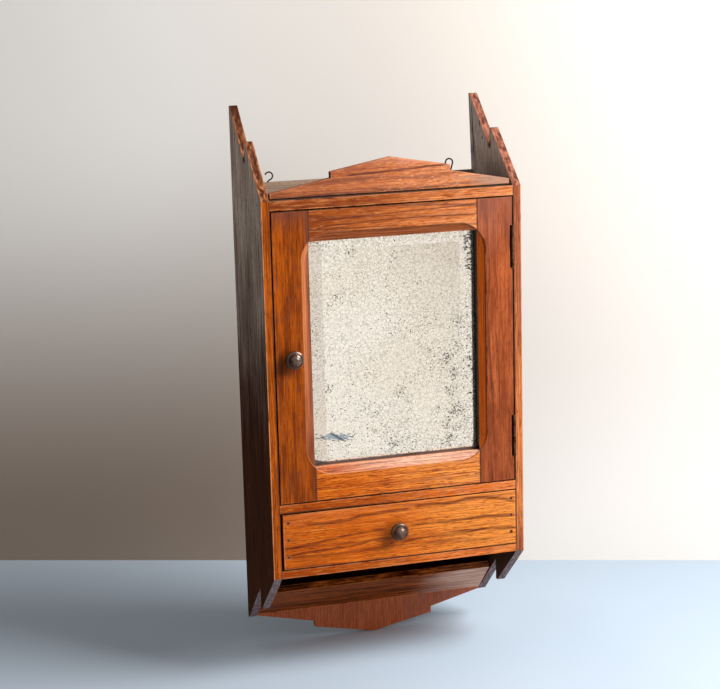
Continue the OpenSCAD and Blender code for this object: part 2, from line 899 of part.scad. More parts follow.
// A wedge that takes the bevel off one edge of the glass, along the local Y axis
module bevel_wedge(l) {
    rotate([90, 0, 0]) translate([0, 0, -l / 2]) linear_extrude(l)
        polygon([[bevel_w, 0], [0, bevel_d], [-over, bevel_d + over * bevel_d / bevel_w],
            [-over, -over], [bevel_w, -over]]);
}

module mirror_plate() {
    mid_z = (glass_z + glass_top) / 2;
    half_h = (glass_top - glass_z) / 2;
    color([0.86, 0.84, 0.79]) difference() {
        slab([-glass_x, glass_x], [glass_set, glass_back], [glass_z, glass_top]);
        translate([0, yd(glass_set), mid_z]) rotate([-90, 0, 0]) {
            for (turn = [0, 180])
                rotate([0, 0, turn]) translate([-glass_x, 0, 0]) bevel_wedge(2 * half_h + 2 * over);
            for (turn = [90, 270])
                rotate([0, 0, turn]) translate([-half_h, 0, 0]) bevel_wedge(2 * glass_x + 2 * over);
        }
    }
}

module mirror_backing() {
    color(inside_wood)
        slab([-glass_x, glass_x], [backing_d, backing_d + backing_t], [glass_z, glass_top]);
}

module backing_brads() {
    color(old_iron) brad_set();
}

// Knobs

door_knob_x = -door_x + door_knob_in;
door_knob_z = door_z + door_knob_up;
drawer_knob_z = front_z + drawer_knob_up;
knob_bore_d = knob_screw_in + over;

// The screw's hole through a board of thickness t, from its face
module knob_bore(face, t) {
    translate(face) rotate([-90, 0, 0]) translate([0, 0, -over])
        cylinder(r = knob_screw_r + nail_fit, h = t + 2 * over);
}

// A turned knob: foot ring, neck, rounded rim and a domed face inside a groove
module knob(face) {
    disc_r = knob_d / 2 - rim_r;
    groove_r = 0.6;
    dome_r = disc_r - groove_r;
    cap_r = (dome_r * dome_r + dome_h * dome_h) / (2 * dome_h);
    rim_top = knob_rim_z + rim_r;
    color(dark_bronze) translate(face) rotate([90, 0, 0]) difference() {
        union() {
            cylinder(r = foot_ring[0], h = foot_ring[1]);
            cylinder(r = neck_r, h = knob_rim_z);
            translate([0, 0, foot_ring[1] + neck_r / 2])
                cylinder(r1 = neck_r, r2 = disc_r, h = knob_rim_z - foot_ring[1] - neck_r / 2);
            translate([0, 0, knob_rim_z]) cylinder(r = disc_r, h = rim_r);
            translate([0, 0, knob_rim_z]) rotate_extrude() translate([disc_r, 0]) circle(r = rim_r);
            intersection() {
                translate([0, 0, rim_top + dome_h - cap_r]) sphere(r = cap_r);
                translate([0, 0, knob_rim_z]) cylinder(r = dome_r, h = rim_r + 2 * dome_h);
            }
        }
        translate([0, 0, rim_top]) rotate_extrude()
            translate([disc_r, 0]) circle(r = groove_r, $fn = 24);
        translate([0, 0, -over]) cylinder(r = knob_screw_r + nail_fit, h = knob_bore_d + over);
    }
}

// The screw that holds a knob, with its head behind a board of thickness t
module knob_screw(face, t) {
    color(old_iron) translate(face) rotate([90, 0, 0]) {
        translate([0, 0, -t]) cylinder(r = knob_screw_r, h = t + knob_screw_in);
        translate([0, 0, -t - knob_head[1]]) cylinder(r = knob_head[0], h = knob_head[1]);
    }
}

module door_knob() {
    knob([door_knob_x, yd(0), door_knob_z]);
}

module door_knob_screw() {
    knob_screw([door_knob_x, yd(0), door_knob_z], door_t);
}

module drawer_knob() {
    knob([drawer_knob_x, yd(0), drawer_knob_z]);
}

module drawer_knob_screw() {
    knob_screw([drawer_knob_x, yd(0), drawer_knob_z], drawer_front_t);
}

// Drawer

module bottom_panel(grow = 0) {
    groove_in = drawer_side_t - groove_d;
    slab([box_end(-1) + groove_in - grow, box_end(1) - groove_in + grow],
        [drawer_front_t - groove_d - grow, box_rear + grow],
        [bottom_z - grow, bottom_z + drawer_bottom_t + grow]);
}

module drawer_front_nail_set(grow = 0) {
    for (s = [-1, 1], z = spread(front_z + front_nail_in[0], front_top - front_nail_in[1], 3))
        drive([box_end(s) - s * drawer_side_t * 0.6, yd(0), z], to_back)
            nail(case_nail_l, grow);
}

module drawer_back_nail_set(grow = 0) {
    for (s = [-1, 1], z = spread(bottom_z + nail_edge, box_z + drawer_side_h - nail_edge / 2, 2))
        drive([box_end(s), yd(box_rear - drawer_back_t / 2), z], s < 0 ? to_right : to_left)
            nail(case_nail_l, grow);
}

module drawer_bottom_nail_set(grow = 0) {
    for (x = spread(box_end(-1) + 2 * nail_edge, box_end(1) - 2 * nail_edge, 3))
        drive([x, yd(box_rear - drawer_back_t / 2), bottom_z], to_top) nail(strip_nail_l, grow);
}

module drawer_front() {
    color(front_wood) difference() {
        slab([front_end(-1), front_end(1)], [0, drawer_front_t], [front_z, front_top]);
        bottom_panel(joint_fit);
        drawer_front_nail_set(nail_fit);
        knob_bore([drawer_knob_x, yd(0), drawer_knob_z], drawer_front_t);
    }
}

module drawer_side(side) {
    far = box_end(side);
    near = far - side * drawer_side_t;
    color(inside_wood) difference() {
        slab([min(near, far), max(near, far)], [drawer_front_t, box_rear],
            [box_z, box_z + drawer_side_h]);
        bottom_panel(joint_fit);
        drawer_front_nail_set(nail_fit);
        drawer_back_nail_set(nail_fit);
    }
}

module drawer_side_left() {
    drawer_side(-1);
}

module drawer_side_right() {
    drawer_side(1);
}

module drawer_back() {
    color(inside_wood) difference() {
        slab([box_end(-1) + drawer_side_t, box_end(1) - drawer_side_t],
            [box_rear - drawer_back_t, box_rear],
            [bottom_z + drawer_bottom_t, box_z + drawer_side_h]);
        drawer_back_nail_set(nail_fit);
        drawer_bottom_nail_set(nail_fit);
    }
}

module drawer_bottom() {
    color(inside_wood) difference() {
        bottom_panel();
        drawer_bottom_nail_set(nail_fit);
    }
}

module drawer_front_nails() {
    color(old_iron) drawer_front_nail_set();
}

module drawer_back_nails() {
    color(old_iron) drawer_back_nail_set();
}

module drawer_bottom_nails() {
    color(old_iron) drawer_bottom_nail_set();
}

side_board_left();
side_board_right();
top_board();
middle_board();
bottom_board();
back_board();
crest_board();
pocket_front();
shelf();
shelf_cleat_left();
shelf_cleat_right();
door_stop();
hook_left();
hook_right();
upper_hinge_case_leaf();
lower_hinge_case_leaf();
upper_hinge_pin();
lower_hinge_pin();
case_leaf_screws();
side_nails_left();
side_nails_right();
back_nails();
crest_screws();
cleat_nails();
stop_nails();
door_stile_left();
door_stile_right();
door_rail_top();
door_rail_bottom();
mirror_plate();
mirror_backing();
backing_brads();
door_knob();
door_knob_screw();
upper_hinge_door_leaf();
lower_hinge_door_leaf();
door_leaf_screws();
drawer_front();
drawer_side_left();
drawer_side_right();
drawer_back();
drawer_bottom();
drawer_knob();
drawer_knob_screw();
drawer_front_nails();
drawer_back_nails();
drawer_bottom_nails();
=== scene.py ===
import math
import bpy
from mathutils import Matrix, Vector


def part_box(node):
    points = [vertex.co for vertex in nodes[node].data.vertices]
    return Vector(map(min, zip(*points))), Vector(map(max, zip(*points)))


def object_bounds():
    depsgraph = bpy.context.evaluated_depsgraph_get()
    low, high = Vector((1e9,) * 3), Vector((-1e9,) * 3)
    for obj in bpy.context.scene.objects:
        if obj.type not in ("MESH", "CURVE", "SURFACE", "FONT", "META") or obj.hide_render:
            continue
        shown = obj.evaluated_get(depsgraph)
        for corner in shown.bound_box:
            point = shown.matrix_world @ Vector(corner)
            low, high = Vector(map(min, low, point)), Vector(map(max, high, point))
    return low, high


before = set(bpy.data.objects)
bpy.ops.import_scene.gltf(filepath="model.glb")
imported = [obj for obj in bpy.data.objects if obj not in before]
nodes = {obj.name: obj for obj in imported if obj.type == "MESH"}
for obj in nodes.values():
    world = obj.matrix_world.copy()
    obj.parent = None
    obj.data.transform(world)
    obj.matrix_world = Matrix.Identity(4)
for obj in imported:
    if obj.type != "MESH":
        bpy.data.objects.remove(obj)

cad_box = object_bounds()

# Side boards
# Each side is one brown hardwood board from the top tip to the foot, sawn to a toothed outline.
# Light and damp have greyed the flat faces, greyer towards the top, and part of that grey is painted
# sheen; faces turned from the lamp are painted paler and faces turned to it browner, as painted
# light. The front edges keep their orange varnish and the slanting saw cuts their tooth marks and
# dirt; painted shade darkens the notch and the inner faces beside the pocket.


class Wire:
    """One socket of a material's nodes. Expressions on wires add Math nodes to that material."""

    def __init__(self, tree, socket=None):
        self.tree = tree
        self.socket = socket

    def node(self, kind, settings=None, sockets=None, out=0):
        """Any other node: its settings come first, then the values or links of its sockets."""
        made = self.tree.nodes.new("ShaderNode" + kind)
        for name, value in (settings or {}).items():
            setattr(made, name, value)
        for name, value in (sockets or {}).items():
            if isinstance(value, Wire):
                self.tree.links.new(value.socket, made.inputs[name])
            else:
                made.inputs[name].default_value = value
        return Wire(self.tree, made.outputs[out] if made.outputs else None)

    def math(self, operation, *values):
        return self.node("Math", {"operation": operation}, dict(enumerate(values)))

    def __add__(self, other):
        return self.math("ADD", self, other)

    def __sub__(self, other):
        return self.math("SUBTRACT", self, other)

    def __rsub__(self, other):
        return self.math("SUBTRACT", other, self)

    def __mul__(self, other):
        return self.math("MULTIPLY", self, other)

    def __truediv__(self, other):
        return self.math("DIVIDE", self, other)

    def __pow__(self, other):
        return self.math("POWER", self, other)

    def __neg__(self):
        return self.math("MULTIPLY", self, -1.0)

    def __abs__(self):
        return self.math("ABSOLUTE", self)

    __radd__ = __add__
    __rmul__ = __mul__

    def ease(self, start, end):
        """0 before start and 1 past end, smooth between; end may be the lower one."""
        return self.node("MapRange", {"interpolation_type": "SMOOTHSTEP"},
                         {"Value": self, "From Min": start, "From Max": end})

    def between(self, low, high):
        """The colour that goes from low to high as this wire goes from 0 to 1."""
        return self.node("Mix", {"data_type": "RGBA"}, {0: self, 6: low, 7: high}, out=2)

    def follow(self, points):
        """The height at this distance on the smooth line through (distance, height) points."""
        distances, heights = zip(*points)
        start, reach = min(distances), max(distances) - min(distances)
        low, rise = min(heights), max(max(heights) - min(heights), 0.001)
        made = self.node("FloatCurve", None, {"Value": (self - start) / reach})
        mapping = made.socket.node.mapping
        line = mapping.curves[0]
        shares = [((a - start) / reach, (b - low) / rise) for a, b in points]
        line.points[0].location = shares[0]
        line.points[1].location = shares[-1]
        for share in shares[1:-1]:
            line.points.new(*share)
        mapping.update()
        return made * rise + low

    def axes(self):
        """The three numbers of this vector."""
        parts = self.node("SeparateXYZ", None, {0: self}).socket.node
        return [Wire(self.tree, socket) for socket in parts.outputs]

    def highest(self, *others):
        most = self
        for other in others:
            most = self.math("MAXIMUM", most, other)
        return most

    def lowest(self, *others):
        least = self
        for other in others:
            least = self.math("MINIMUM", least, other)
        return least

    def noise(self, lengths, seed, detail=2.0, roughness=0.5):
        """Soft noise about 0.5 over this place; its grains have the given lengths in mm."""
        stretched = self.node("VectorMath", {"operation": "MULTIPLY_ADD"},
                              {0: self, 1: [1 / length for length in lengths],
                               2: (seed * 7.31, seed * 3.77, seed * 5.13)})
        return self.node("TexNoise", None, {"Vector": stretched, "Scale": 1.0, "Detail": detail,
                                            "Roughness": roughness})


def tint(red, green, blue):
    """A colour written as it looks on the screen, 0 to 255."""
    linear = [((c / 255 + 0.055) / 1.055) ** 2.4 if c > 10 else c / 3295 for c in (red, green, blue)]
    return (*linear, 1.0)


def new_finish(name):
    """An empty material, and the wire of the place on the object in mm."""
    material = bpy.data.materials.new(name)
    material.use_nodes = True
    material.node_tree.nodes.clear()
    start = Wire(material.node_tree)
    metres = start.node("TexCoord", out="Object")
    return material, metres.node("VectorMath", {"operation": "SCALE"}, {0: metres, "Scale": 1000.0})


def facing(place):
    """The three numbers of the way that the surface faces on the resting object."""
    return place.node("TexCoord", out="Normal").axes()


def arris(place, reach):
    """1 on sharp outer edges, 0 at reach mm from them."""
    inside = place.node("AmbientOcclusion", {"inside": True, "only_local": True, "samples": 4},
                        {"Distance": reach / 1000}, out="AO")
    return 1 - inside


def near(distance, reach):
    """1 at a seam, 0 at reach mm from it."""
    return distance.ease(reach, reach * 0.4)


class Figure:
    """What the saw shows of a board: year lines, pores, streaks and clouds, each from 0 to 1."""

    def __init__(self, place, along, seed, ring=5.5, heart=(40.0, 30.0), tilt=0.02, sway=14.0):
        x, y, z = place.axes()
        run, rise, deep = {"x": (x, z, y), "y": (y, z, x), "z": (z, x, y)}[along]
        self.run, self.rise = run, rise
        self.grain = place.node("CombineXYZ", None, {"X": run, "Y": rise, "Z": deep})
        drift = self.grain.noise((150, 34, 60), seed, 1.0) - 0.5
        wobble = self.grain.noise((40, 5, 9), seed + 3, 1.0) - 0.5
        across = rise - heart[0] + run * tilt + drift * sway
        inward = deep - heart[1]
        turns = ((across * across + inward * inward) ** 0.5 + wobble * 1.8) / ring
        part = turns.math("FRACT", turns)
        ring_number = turns.math("FLOOR", turns)
        year = turns.node("TexWhiteNoise", {"noise_dimensions": "1D"}, {"W": ring_number})
        broken = self.grain.noise((55, 3, 6), seed + 5, 2.0).ease(0.36, 0.62)
        self.lines = part.ease(0.45, 0.92) * part.ease(1.0, 0.94) * year * (broken * 0.6 + 0.4)
        self.pores = self.grain.noise((9, 0.8, 1.0), seed + 7, 1.0).ease(0.58, 0.7)
        self.dashes = self.grain.noise((18, 0.8, 2.5), seed + 29, 2.0, 0.6).ease(0.57, 0.67)
        self.streaks = self.grain.noise((64, 1.2, 3), seed + 11, 4.0, 0.75)
        self.mottle = self.grain.noise((13, 2.6, 5), seed + 31, 3.0, 0.65)
        self.clouds = self.grain.noise((95, 36, 70), seed + 17, 2.0)
        self.flecks = self.grain.noise((17, 3.2, 6), seed + 23, 2.0, 0.6)

    def streaked(self, dark, light, start=0.36, end=0.66):
        """The colour that goes from dark to light with the streaks."""
        return self.streaks.ease(start, end).between(dark, light)


def vein(figure, points, width, seed, solid=0.35):
    """A dark vein along (run, rise) points in mm: a band of broken streaks about a thin line."""
    wave = figure.grain.noise((30, 200, 200), seed, 2.0) - 0.5
    off = abs(figure.rise - figure.run.follow(points) + wave * width)
    patchy = figure.grain.noise((26, 1.1, 5), seed + 1, 3.0, 0.65).ease(0.4, 0.6)
    start, end = min(points)[0], max(points)[0]
    ends = figure.run.ease(start - 4, start + 6) * figure.run.ease(end + 4, end - 6)
    thin = off.ease(0.9, 0.3) * 0.6
    return (off.ease(width, width * 0.15) * (patchy * (1 - solid) + solid)).highest(thin) * ends


def lay_finish(material, colour, roughness, dents, others):
    """Lays one shader on; dents are a height, its strength and its depth in metres."""
    height, strength, depth = dents
    bump = height.node("Bump", None, {"Strength": strength, "Distance": depth, "Height": height})
    shader = height.node("BsdfPrincipled", None, {
        "Base Color": colour, "Roughness": roughness, "Normal": bump, **others})
    shader.node("OutputMaterial", None, {"Surface": shader})
    return material


def finish_wood(material, colour, figure, roughness, coat, sheen=0.06):
    """Varnished or bare wood: the pores and streaks also dent the surface."""
    height = figure.streaks * 0.5 - figure.pores * 0.7 - figure.lines * 0.3
    return lay_finish(material, colour, roughness, (height, 0.35, 0.0003), {
        "Coat Weight": coat, "Specular IOR Level": sheen, "Coat Roughness": 0.25, "Coat IOR": 1.45})


def dress(name, material, edge=0.0):
    """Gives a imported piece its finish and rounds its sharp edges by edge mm, as wear does."""
    piece = nodes[name]
    for slot in piece.material_slots:
        slot.material = material
    if edge:
        weld = piece.modifiers.new("weld", "WELD")
        weld.merge_threshold = 0.00001
        flats = piece.modifiers.new("flats", "DECIMATE")
        flats.decimate_type = "DISSOLVE"
        flats.angle_limit = math.radians(1)
        wear = piece.modifiers.new("wear", "BEVEL")
        wear.width = edge / 1000
        wear.segments = 2
        wear.limit_method = "ANGLE"
        wear.angle_limit = math.radians(28)
        wear.harden_normals = True


# Faces of the case in mm; the frame is in metres
side_low, side_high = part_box("side_board_left")
case_front = side_low.y * 1000
side_out = -side_low.x * 1000
side_in = -side_high.x * 1000
# Bare wood where an edge is rubbed, and the near-black of dirt in seams and cracks, also used as
# painted shade
EDGE_LIGHT = tint(236, 156, 104)
DIRT_AND_SHADE = tint(34, 20, 14)
# Places on the side boards as y and z in mm: the painted shade in the notch, and marks on the right
# one
notch_y, notch_z = -66, 484
knot_y, knot_z = -43, 488
long_crack_y = -9
short_crack_y = -33


def side_finish(name, left):
    """The same board on both sides: grey flats with painted sheen and painted light, orange front
    edge, marked slants, painted shade in the notch and beside the pocket.
    """
    material, place = new_finish(name)
    x, y, z = place.axes()
    face_x, face_y, face_z = facing(place)
    figure = Figure(place, "z", 3 if left else 9, ring=6.5, heart=(0, 60), tilt=0.01, sway=30)
    # Faces turned from the lamp are painted paler and faces turned to it browner (painted light); the
    # grey, greyer towards the top, is partly weathering and partly painted sheen
    if left:
        grey_weathering_and_sheen = figure.streaked(tint(192, 160, 142), tint(255, 234, 214))
    else:
        grey_weathering_and_sheen = figure.streaked(tint(240, 216, 204), tint(255, 252, 246))
    browner = figure.streaked(tint(124, 96, 78), tint(186, 152, 128))
    grey_weathering_and_sheen = face_x.ease(0.5, 0.9).between(grey_weathering_and_sheen, browner)
    varnished = figure.streaked(tint(50, 18, 0), tint(104, 48, 8))
    greyness_and_sheen = (z + (figure.clouds - 0.5) * 190 + (figure.streaks - 0.5) * 160).ease(150, 500)
    colour = greyness_and_sheen.between(varnished, grey_weathering_and_sheen)
    colour = (figure.lines * 0.5).between(colour, tint(38, 24, 18))
    colour = (figure.pores.highest(figure.dashes * 0.6) * 0.55).between(colour, tint(30, 19, 14))
    # Painted shade on the inner faces below the bottom board, beside the pocket
    pocket_side_shade = z.ease(2, -6) * abs(x).ease(side_in + 1, side_in + 0.3)
    colour = (pocket_side_shade * 0.8).between(colour, DIRT_AND_SHADE)
    if not left:
        colour = (z.ease(484, 446) * y.ease(-20, -70) * 0.5).between(colour, tint(96, 66, 52))
        long_crack = abs(y - long_crack_y + figure.clouds * 4).ease(1.7, 0.7)
        long_crack = long_crack * z.ease(452, 470) * z.ease(532, 520)
        short_crack = abs(y - short_crack_y + figure.flecks * 4).ease(1.6, 0.6)
        short_crack = short_crack * z.ease(498, 504) * z.ease(522, 514)
        knot = (((y - knot_y) ** 2 + (z - knot_z) ** 2) ** 0.5).ease(2.2, 1.2)
        rot = (figure.grain.noise((40, 5, 9), 31, 2.0).ease(0.52, 0.68) * y.ease(-22, -2)
               * z.ease(440, 470))
        colour = long_crack.highest(short_crack, knot, rot * 0.7).between(colour, DIRT_AND_SHADE)

    # The front edge
    if left:
        orange = figure.streaked(tint(116, 46, 4), tint(204, 102, 28), 0.36, 0.64)
    else:
        orange = figure.streaked(tint(164, 82, 38), tint(234, 146, 88), 0.36, 0.64)
        stained = figure.streaked(tint(118, 60, 38), tint(174, 102, 72), 0.36, 0.64)
        orange = (z.ease(120, 400).highest(z.ease(60, 0) * 0.8)).between(orange, stained)
    orange = (figure.mottle.ease(0.52, 0.68) * 0.5).between(orange, tint(96, 40, 16))
    orange = (figure.lines.highest(figure.dashes * 0.8) * 0.6).between(orange, tint(84, 34, 14))
    joint = near(abs(x) - side_in, 1.3) * z.ease(446, 440)
    orange = (joint * 0.75).between(orange, tint(58, 28, 22))
    front = y.ease(case_front + 1.8, case_front + 0.7) * z.ease(-2, 1)
    off_middle = abs(abs(x) - (side_out + side_in) / 2)
    rim = off_middle.ease(3.4, 4.4)
    rubbed_rim = rim * figure.flecks.ease(0.25, 0.55) * (abs(x) - side_in).ease(3, 6)
    orange = (rubbed_rim * 0.8).between(orange, EDGE_LIGHT)
    colour = front.between(colour, orange)

    # The slanting and the level saw cuts
    slant = (-face_y).ease(0.3, 0.5) * abs(face_z).ease(0.3, 0.5)
    cut = place.node("CombineXYZ", None, {"X": x, "Y": y * 0.66 + z * 0.75})
    blotch = cut.noise((7, 15, 9), 41 if left else 45, 3.0, 0.6)
    blotched = cut.noise((3, 9, 9), 44, 2.0).ease(0.3, 0.7)
    if left:
        dirt = off_middle.ease(4.6, 2.4) * blotch.ease(0.3, 0.52)
        dirt = dirt.highest(z.ease(520, 532), blotch.ease(0.52, 0.66) * 0.8)
        sawn = blotched.between(tint(126, 68, 38), tint(210, 138, 96))
        sawn = (z.ease(478, 520) * 0.5).between(sawn, tint(110, 48, 24))
        sawn = (dirt * 0.8).between(sawn, tint(38, 20, 18))
    else:
        marks = blotch.ease(0.48, 0.6) * rim.ease(1.4, 0.2)
        sawn = blotched.between(tint(116, 66, 54), tint(172, 112, 88))
        sawn = (marks * 0.8).between(sawn, tint(64, 34, 34))
    under = figure.flecks.ease(0.3, 0.7).between(tint(96, 80, 82), tint(150, 130, 128))
    sawn = face_z.ease(0.0, -0.1).between(sawn, under)
    colour = slant.between(colour, sawn)
    # Painted shade in the notch between the teeth
    notch = (((y - notch_y) ** 2 + ((z - notch_z) * 0.7) ** 2) ** 0.5).ease(6.5, 3.0)
    colour = (notch * 0.85).between(colour, DIRT_AND_SHADE)
    flat_cut = abs(face_z).ease(0.85, 0.95).highest(face_y.ease(0.85, 0.95) * z.ease(450, 470))
    colour = (flat_cut * 0.85).between(colour, tint(44, 28, 24))
    worn = arris(place, 1.1).ease(0.16, 0.42) * place.noise((12, 12, 12), 47, 2.0).ease(0.38, 0.58)
    colour = (worn * 0.4).between(colour, tint(190, 116, 78))
    roughness = 0.45 + greyness_and_sheen * 0.2 + figure.pores * 0.1
    return finish_wood(material, colour, figure, roughness, front * 0.05, 0.02)


dress("side_board_left", side_finish("side_wood_left", True), 0.8)
dress("side_board_right", side_finish("side_wood_right", False), 0.8)

# Top, middle and bottom boards
# Three boards of the same wood lie between the sides, with their long grain from side to side.
# Their front edges are varnished bright orange; the top one's upper face has lost its varnish.

# The varnish of the fronts, and the redder one on the top board, the crest and the top rail
ORANGE = {"light": tint(255, 163, 68), "body": tint(226, 110, 20), "deep": tint(158, 62, 0),
          "line": tint(82, 30, 18), "pore": tint(106, 42, 10)}
RUSSET = {"light": tint(248, 170, 106), "body": tint(202, 108, 46), "deep": tint(130, 54, 10),
          "line": tint(76, 32, 28), "pore": tint(94, 42, 22)}


def front_varnish(figure, palette, lighter_at=0.0, contrast=1.0, curl=1.0, veil_and_sheen_share=0.16):
    """Worn varnish over figured wood, deeper on the left and lighter on the right, partly faded and
    partly painted light; a pale veil to the right is partly worn varnish and partly painted sheen.
    """
    # Lighter towards the right: partly fading, partly painted light from the lamp's side
    faded_and_lit = figure.run / 290 + lighter_at + (figure.clouds - 0.5) * 0.9
    base = faded_and_lit.ease(-0.7, 0.15).between(palette["deep"], palette["body"])
    base = (faded_and_lit.ease(0.0, 0.7) * 0.65).between(base, palette["light"])
    base = (figure.streaks.ease(0.54, 0.36) * 0.6 * contrast).between(base, palette["deep"])
    base = (figure.streaks.ease(0.52, 0.7) * 0.5 * contrast).between(base, palette["light"])
    base = (figure.mottle.ease(0.52, 0.7) * 0.28 * curl).between(base, palette["pore"])
    base = (figure.mottle.ease(0.46, 0.3) * 0.25 * curl).between(base, palette["light"])
    base = (figure.lines * 0.8 * contrast).lowest(0.92).between(base, palette["line"])
    # A pale veil towards the right: partly worn varnish, partly painted sheen
    pale_veil_and_sheen = figure.run.ease(-90, 170) * figure.flecks.ease(0.3, 0.6)
    base = (pale_veil_and_sheen * veil_and_sheen_share).between(base, tint(255, 200, 164))
    base = (figure.dashes * 0.65 * contrast).between(base, palette["pore"])
    return (figure.pores * 0.6).between(base, palette["line"])


def worn_edges(place, colour, amount=0.6, reach=1.6, light=EDGE_LIGHT):
    """Rubbed edges, where the varnish has gone and the wood shows pale."""
    patchy = place.noise((16, 16, 16), 51, 2.0).ease(0.34, 0.56)
    rubbed = arris(place, reach).ease(0.16, 0.42) * patchy
    return (rubbed * amount).between(colour, light)


def case_board_finish(name, seed, palette, bare_top):
    """Varnish on the front edge; elsewhere bare wood, dirt in the corners, and painted shade under
    the boards and on a strip of their top faces just behind the front edge.
    """
    material, place = new_finish(name + "_varnish")
    x, y, z = place.axes()
    face_z = facing(place)[2]
    figure = Figure(place, "x", seed, ring=4.2, heart=(60, 20), tilt=0.02, sway=10)
    colour = front_varnish(figure, palette, -0.28, 1.25)
    inner = y.ease(case_front + 3, case_front + 8)
    if bare_top:
        bare = figure.streaked(tint(112, 92, 78), tint(168, 146, 128))
    else:
        bare = figure.streaked(tint(108, 74, 48), tint(160, 118, 82))
    bare = (figure.clouds.ease(0.5, 0.75) * x.ease(-100, 0) * 0.7).between(bare, tint(166, 104, 76))
    bare = (figure.pores * 0.5).between(bare, tint(60, 40, 30))
    top_face = face_z.ease(0.6, 0.9)
    colour = (top_face.highest(inner) if bare_top else inner).between(colour, bare)
    # Painted shade on the under faces and on a strip of the top faces just behind the front edge
    strip = top_face * inner.ease(1.0, 0.6)
    colour = (face_z.ease(-0.6, -0.9).highest(strip) * 0.85).between(colour, DIRT_AND_SHADE)
    colour = (near(side_in - abs(x), 1.4) * 0.8).between(colour, tint(44, 22, 18))
    colour = worn_edges(place, colour, 0.6, 2.4)
    if name == "middle_board":
        # Painted shade in the gap above the drawer, fading out to the right
        drawer_gap_shade = near(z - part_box(name)[0].z * 1000, 2.2) * x.ease(40, -60)
        colour = (drawer_gap_shade * 0.85).between(colour, DIRT_AND_SHADE)
    return finish_wood(material, colour, figure, 0.42 + inner * 0.25, 0.06 - inner * 0.06)


dress("top_board", case_board_finish("top_board", 13, RUSSET, True), 0.6)
dress("middle_board", case_board_finish("middle_board", 19, ORANGE, False), 0.6)
dress("bottom_board", case_board_finish("bottom_board", 27, ORANGE, False), 0.6)

# Back board
# One upright board closes the back and ends below in the stepped, pointed apron.
# It stands between the sides and is nailed to the three boards; it has only a thin red-brown stain.


def back_finish():
    material, place = new_finish("back_wood")
    x, y, z = place.axes()
    figure = Figure(place, "z", 33, ring=5.0, heart=(-30, 25), tilt=0.015, sway=16)
    stained = figure.streaked(tint(154, 70, 38), tint(216, 118, 74), 0.28, 0.72)
    stained = (figure.mottle.ease(0.5, 0.36) * 0.3).between(stained, tint(216, 128, 90))
    faded = (figure.clouds - 0.5 + x / 400).ease(0.05, 0.4)
    stained = (faded * 0.6).between(stained, tint(166, 104, 88))
    bare = figure.streaked(tint(108, 84, 68), tint(156, 128, 106), 0.34, 0.68)
    bare = (z.ease(436, 440) * 0.8).between(bare, tint(158, 140, 124))
    colour = (z.ease(8, -8) * y.ease(-1, -3)).between(bare, stained)
    colour = (figure.lines * 0.3).between(colour, tint(80, 38, 24))
    colour = (figure.pores.highest(figure.dashes * 0.6) * 0.4).between(colour, tint(70, 34, 22))
    # Painted shade inside the letter pocket
    pocket = y.ease(-4, -7) * z.ease(4, 0) * z.ease(-84, -78)
    colour = (pocket * 0.9).between(colour, DIRT_AND_SHADE)
    colour = worn_edges(place, colour, 0.5, 1.0, tint(196, 116, 88))
    return finish_wood(material, colour, figure, 0.5, 0.03)


dress("back_board", back_finish(), 0.4)

# Crest board
# A stepped, pointed board stands on edge on the top board and is screwed from below.
# Its curly figure catches the light; a dark scorched vein crosses it and its right end is pale.

case_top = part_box("top_board")[1].z * 1000


def crest_finish():
    material, place = new_finish("crest_varnish")
    x, y, z = place.axes()
    figure = Figure(place, "x", 37, ring=3.6, heart=(500, 15), tilt=-0.03, sway=18)
    colour = front_varnish(figure, RUSSET, -0.04, 1.35, 1.3)
    colour = (0.04 + figure.flecks * 0.2).between(colour, tint(200, 140, 120))
    curl = figure.grain.noise((6, 2.2, 20), 39, 3.0, 0.65)
    figured = x.ease(-40, 10) * x.ease(125, 80)
    colour = (curl.ease(0.53, 0.66) * figured * 0.4).between(colour, tint(118, 54, 38))
    colour = (curl.ease(0.46, 0.32) * figured * 0.4).between(colour, tint(244, 172, 128))
    faded_and_lit = (figure.clouds - 0.5 + (z - 462) / 60).ease(0.1, 0.45)
    colour = (faded_and_lit * 0.6).between(colour, tint(226, 160, 134))
    pale = (x / 145 + (figure.flecks - 0.5) * 0.8).ease(0.5, 0.9)
    colour = (pale * 0.75).between(colour, tint(166, 134, 118))
    scorch = vein(figure, ((-52, 465.2), (10, 468), (70, 471.1)), 2.0, 40, 0.7)
    colour = (scorch * 0.85).between(colour, tint(72, 36, 38))
    cut_end = abs(facing(place)[0]).ease(0.7, 0.9)
    colour = (cut_end * 0.9).between(colour, tint(44, 28, 22))
    back = y.ease(case_front + 12, case_front + 14)
    colour = (back * 0.6).between(colour, tint(112, 82, 62))
    colour = worn_edges(place, colour, 0.5, 2.0)
    colour = (near(z - case_top, 3.0) * 0.85).between(colour, DIRT_AND_SHADE)
    return finish_wood(material, colour, figure, 0.42, 0.05)


dress("crest_board", crest_finish(), 0.5)

# Pocket front
# The sloping board of the letter pocket is nailed between the sides against the apron.
# It is browner than the fronts, and its right part is faded and dusty.


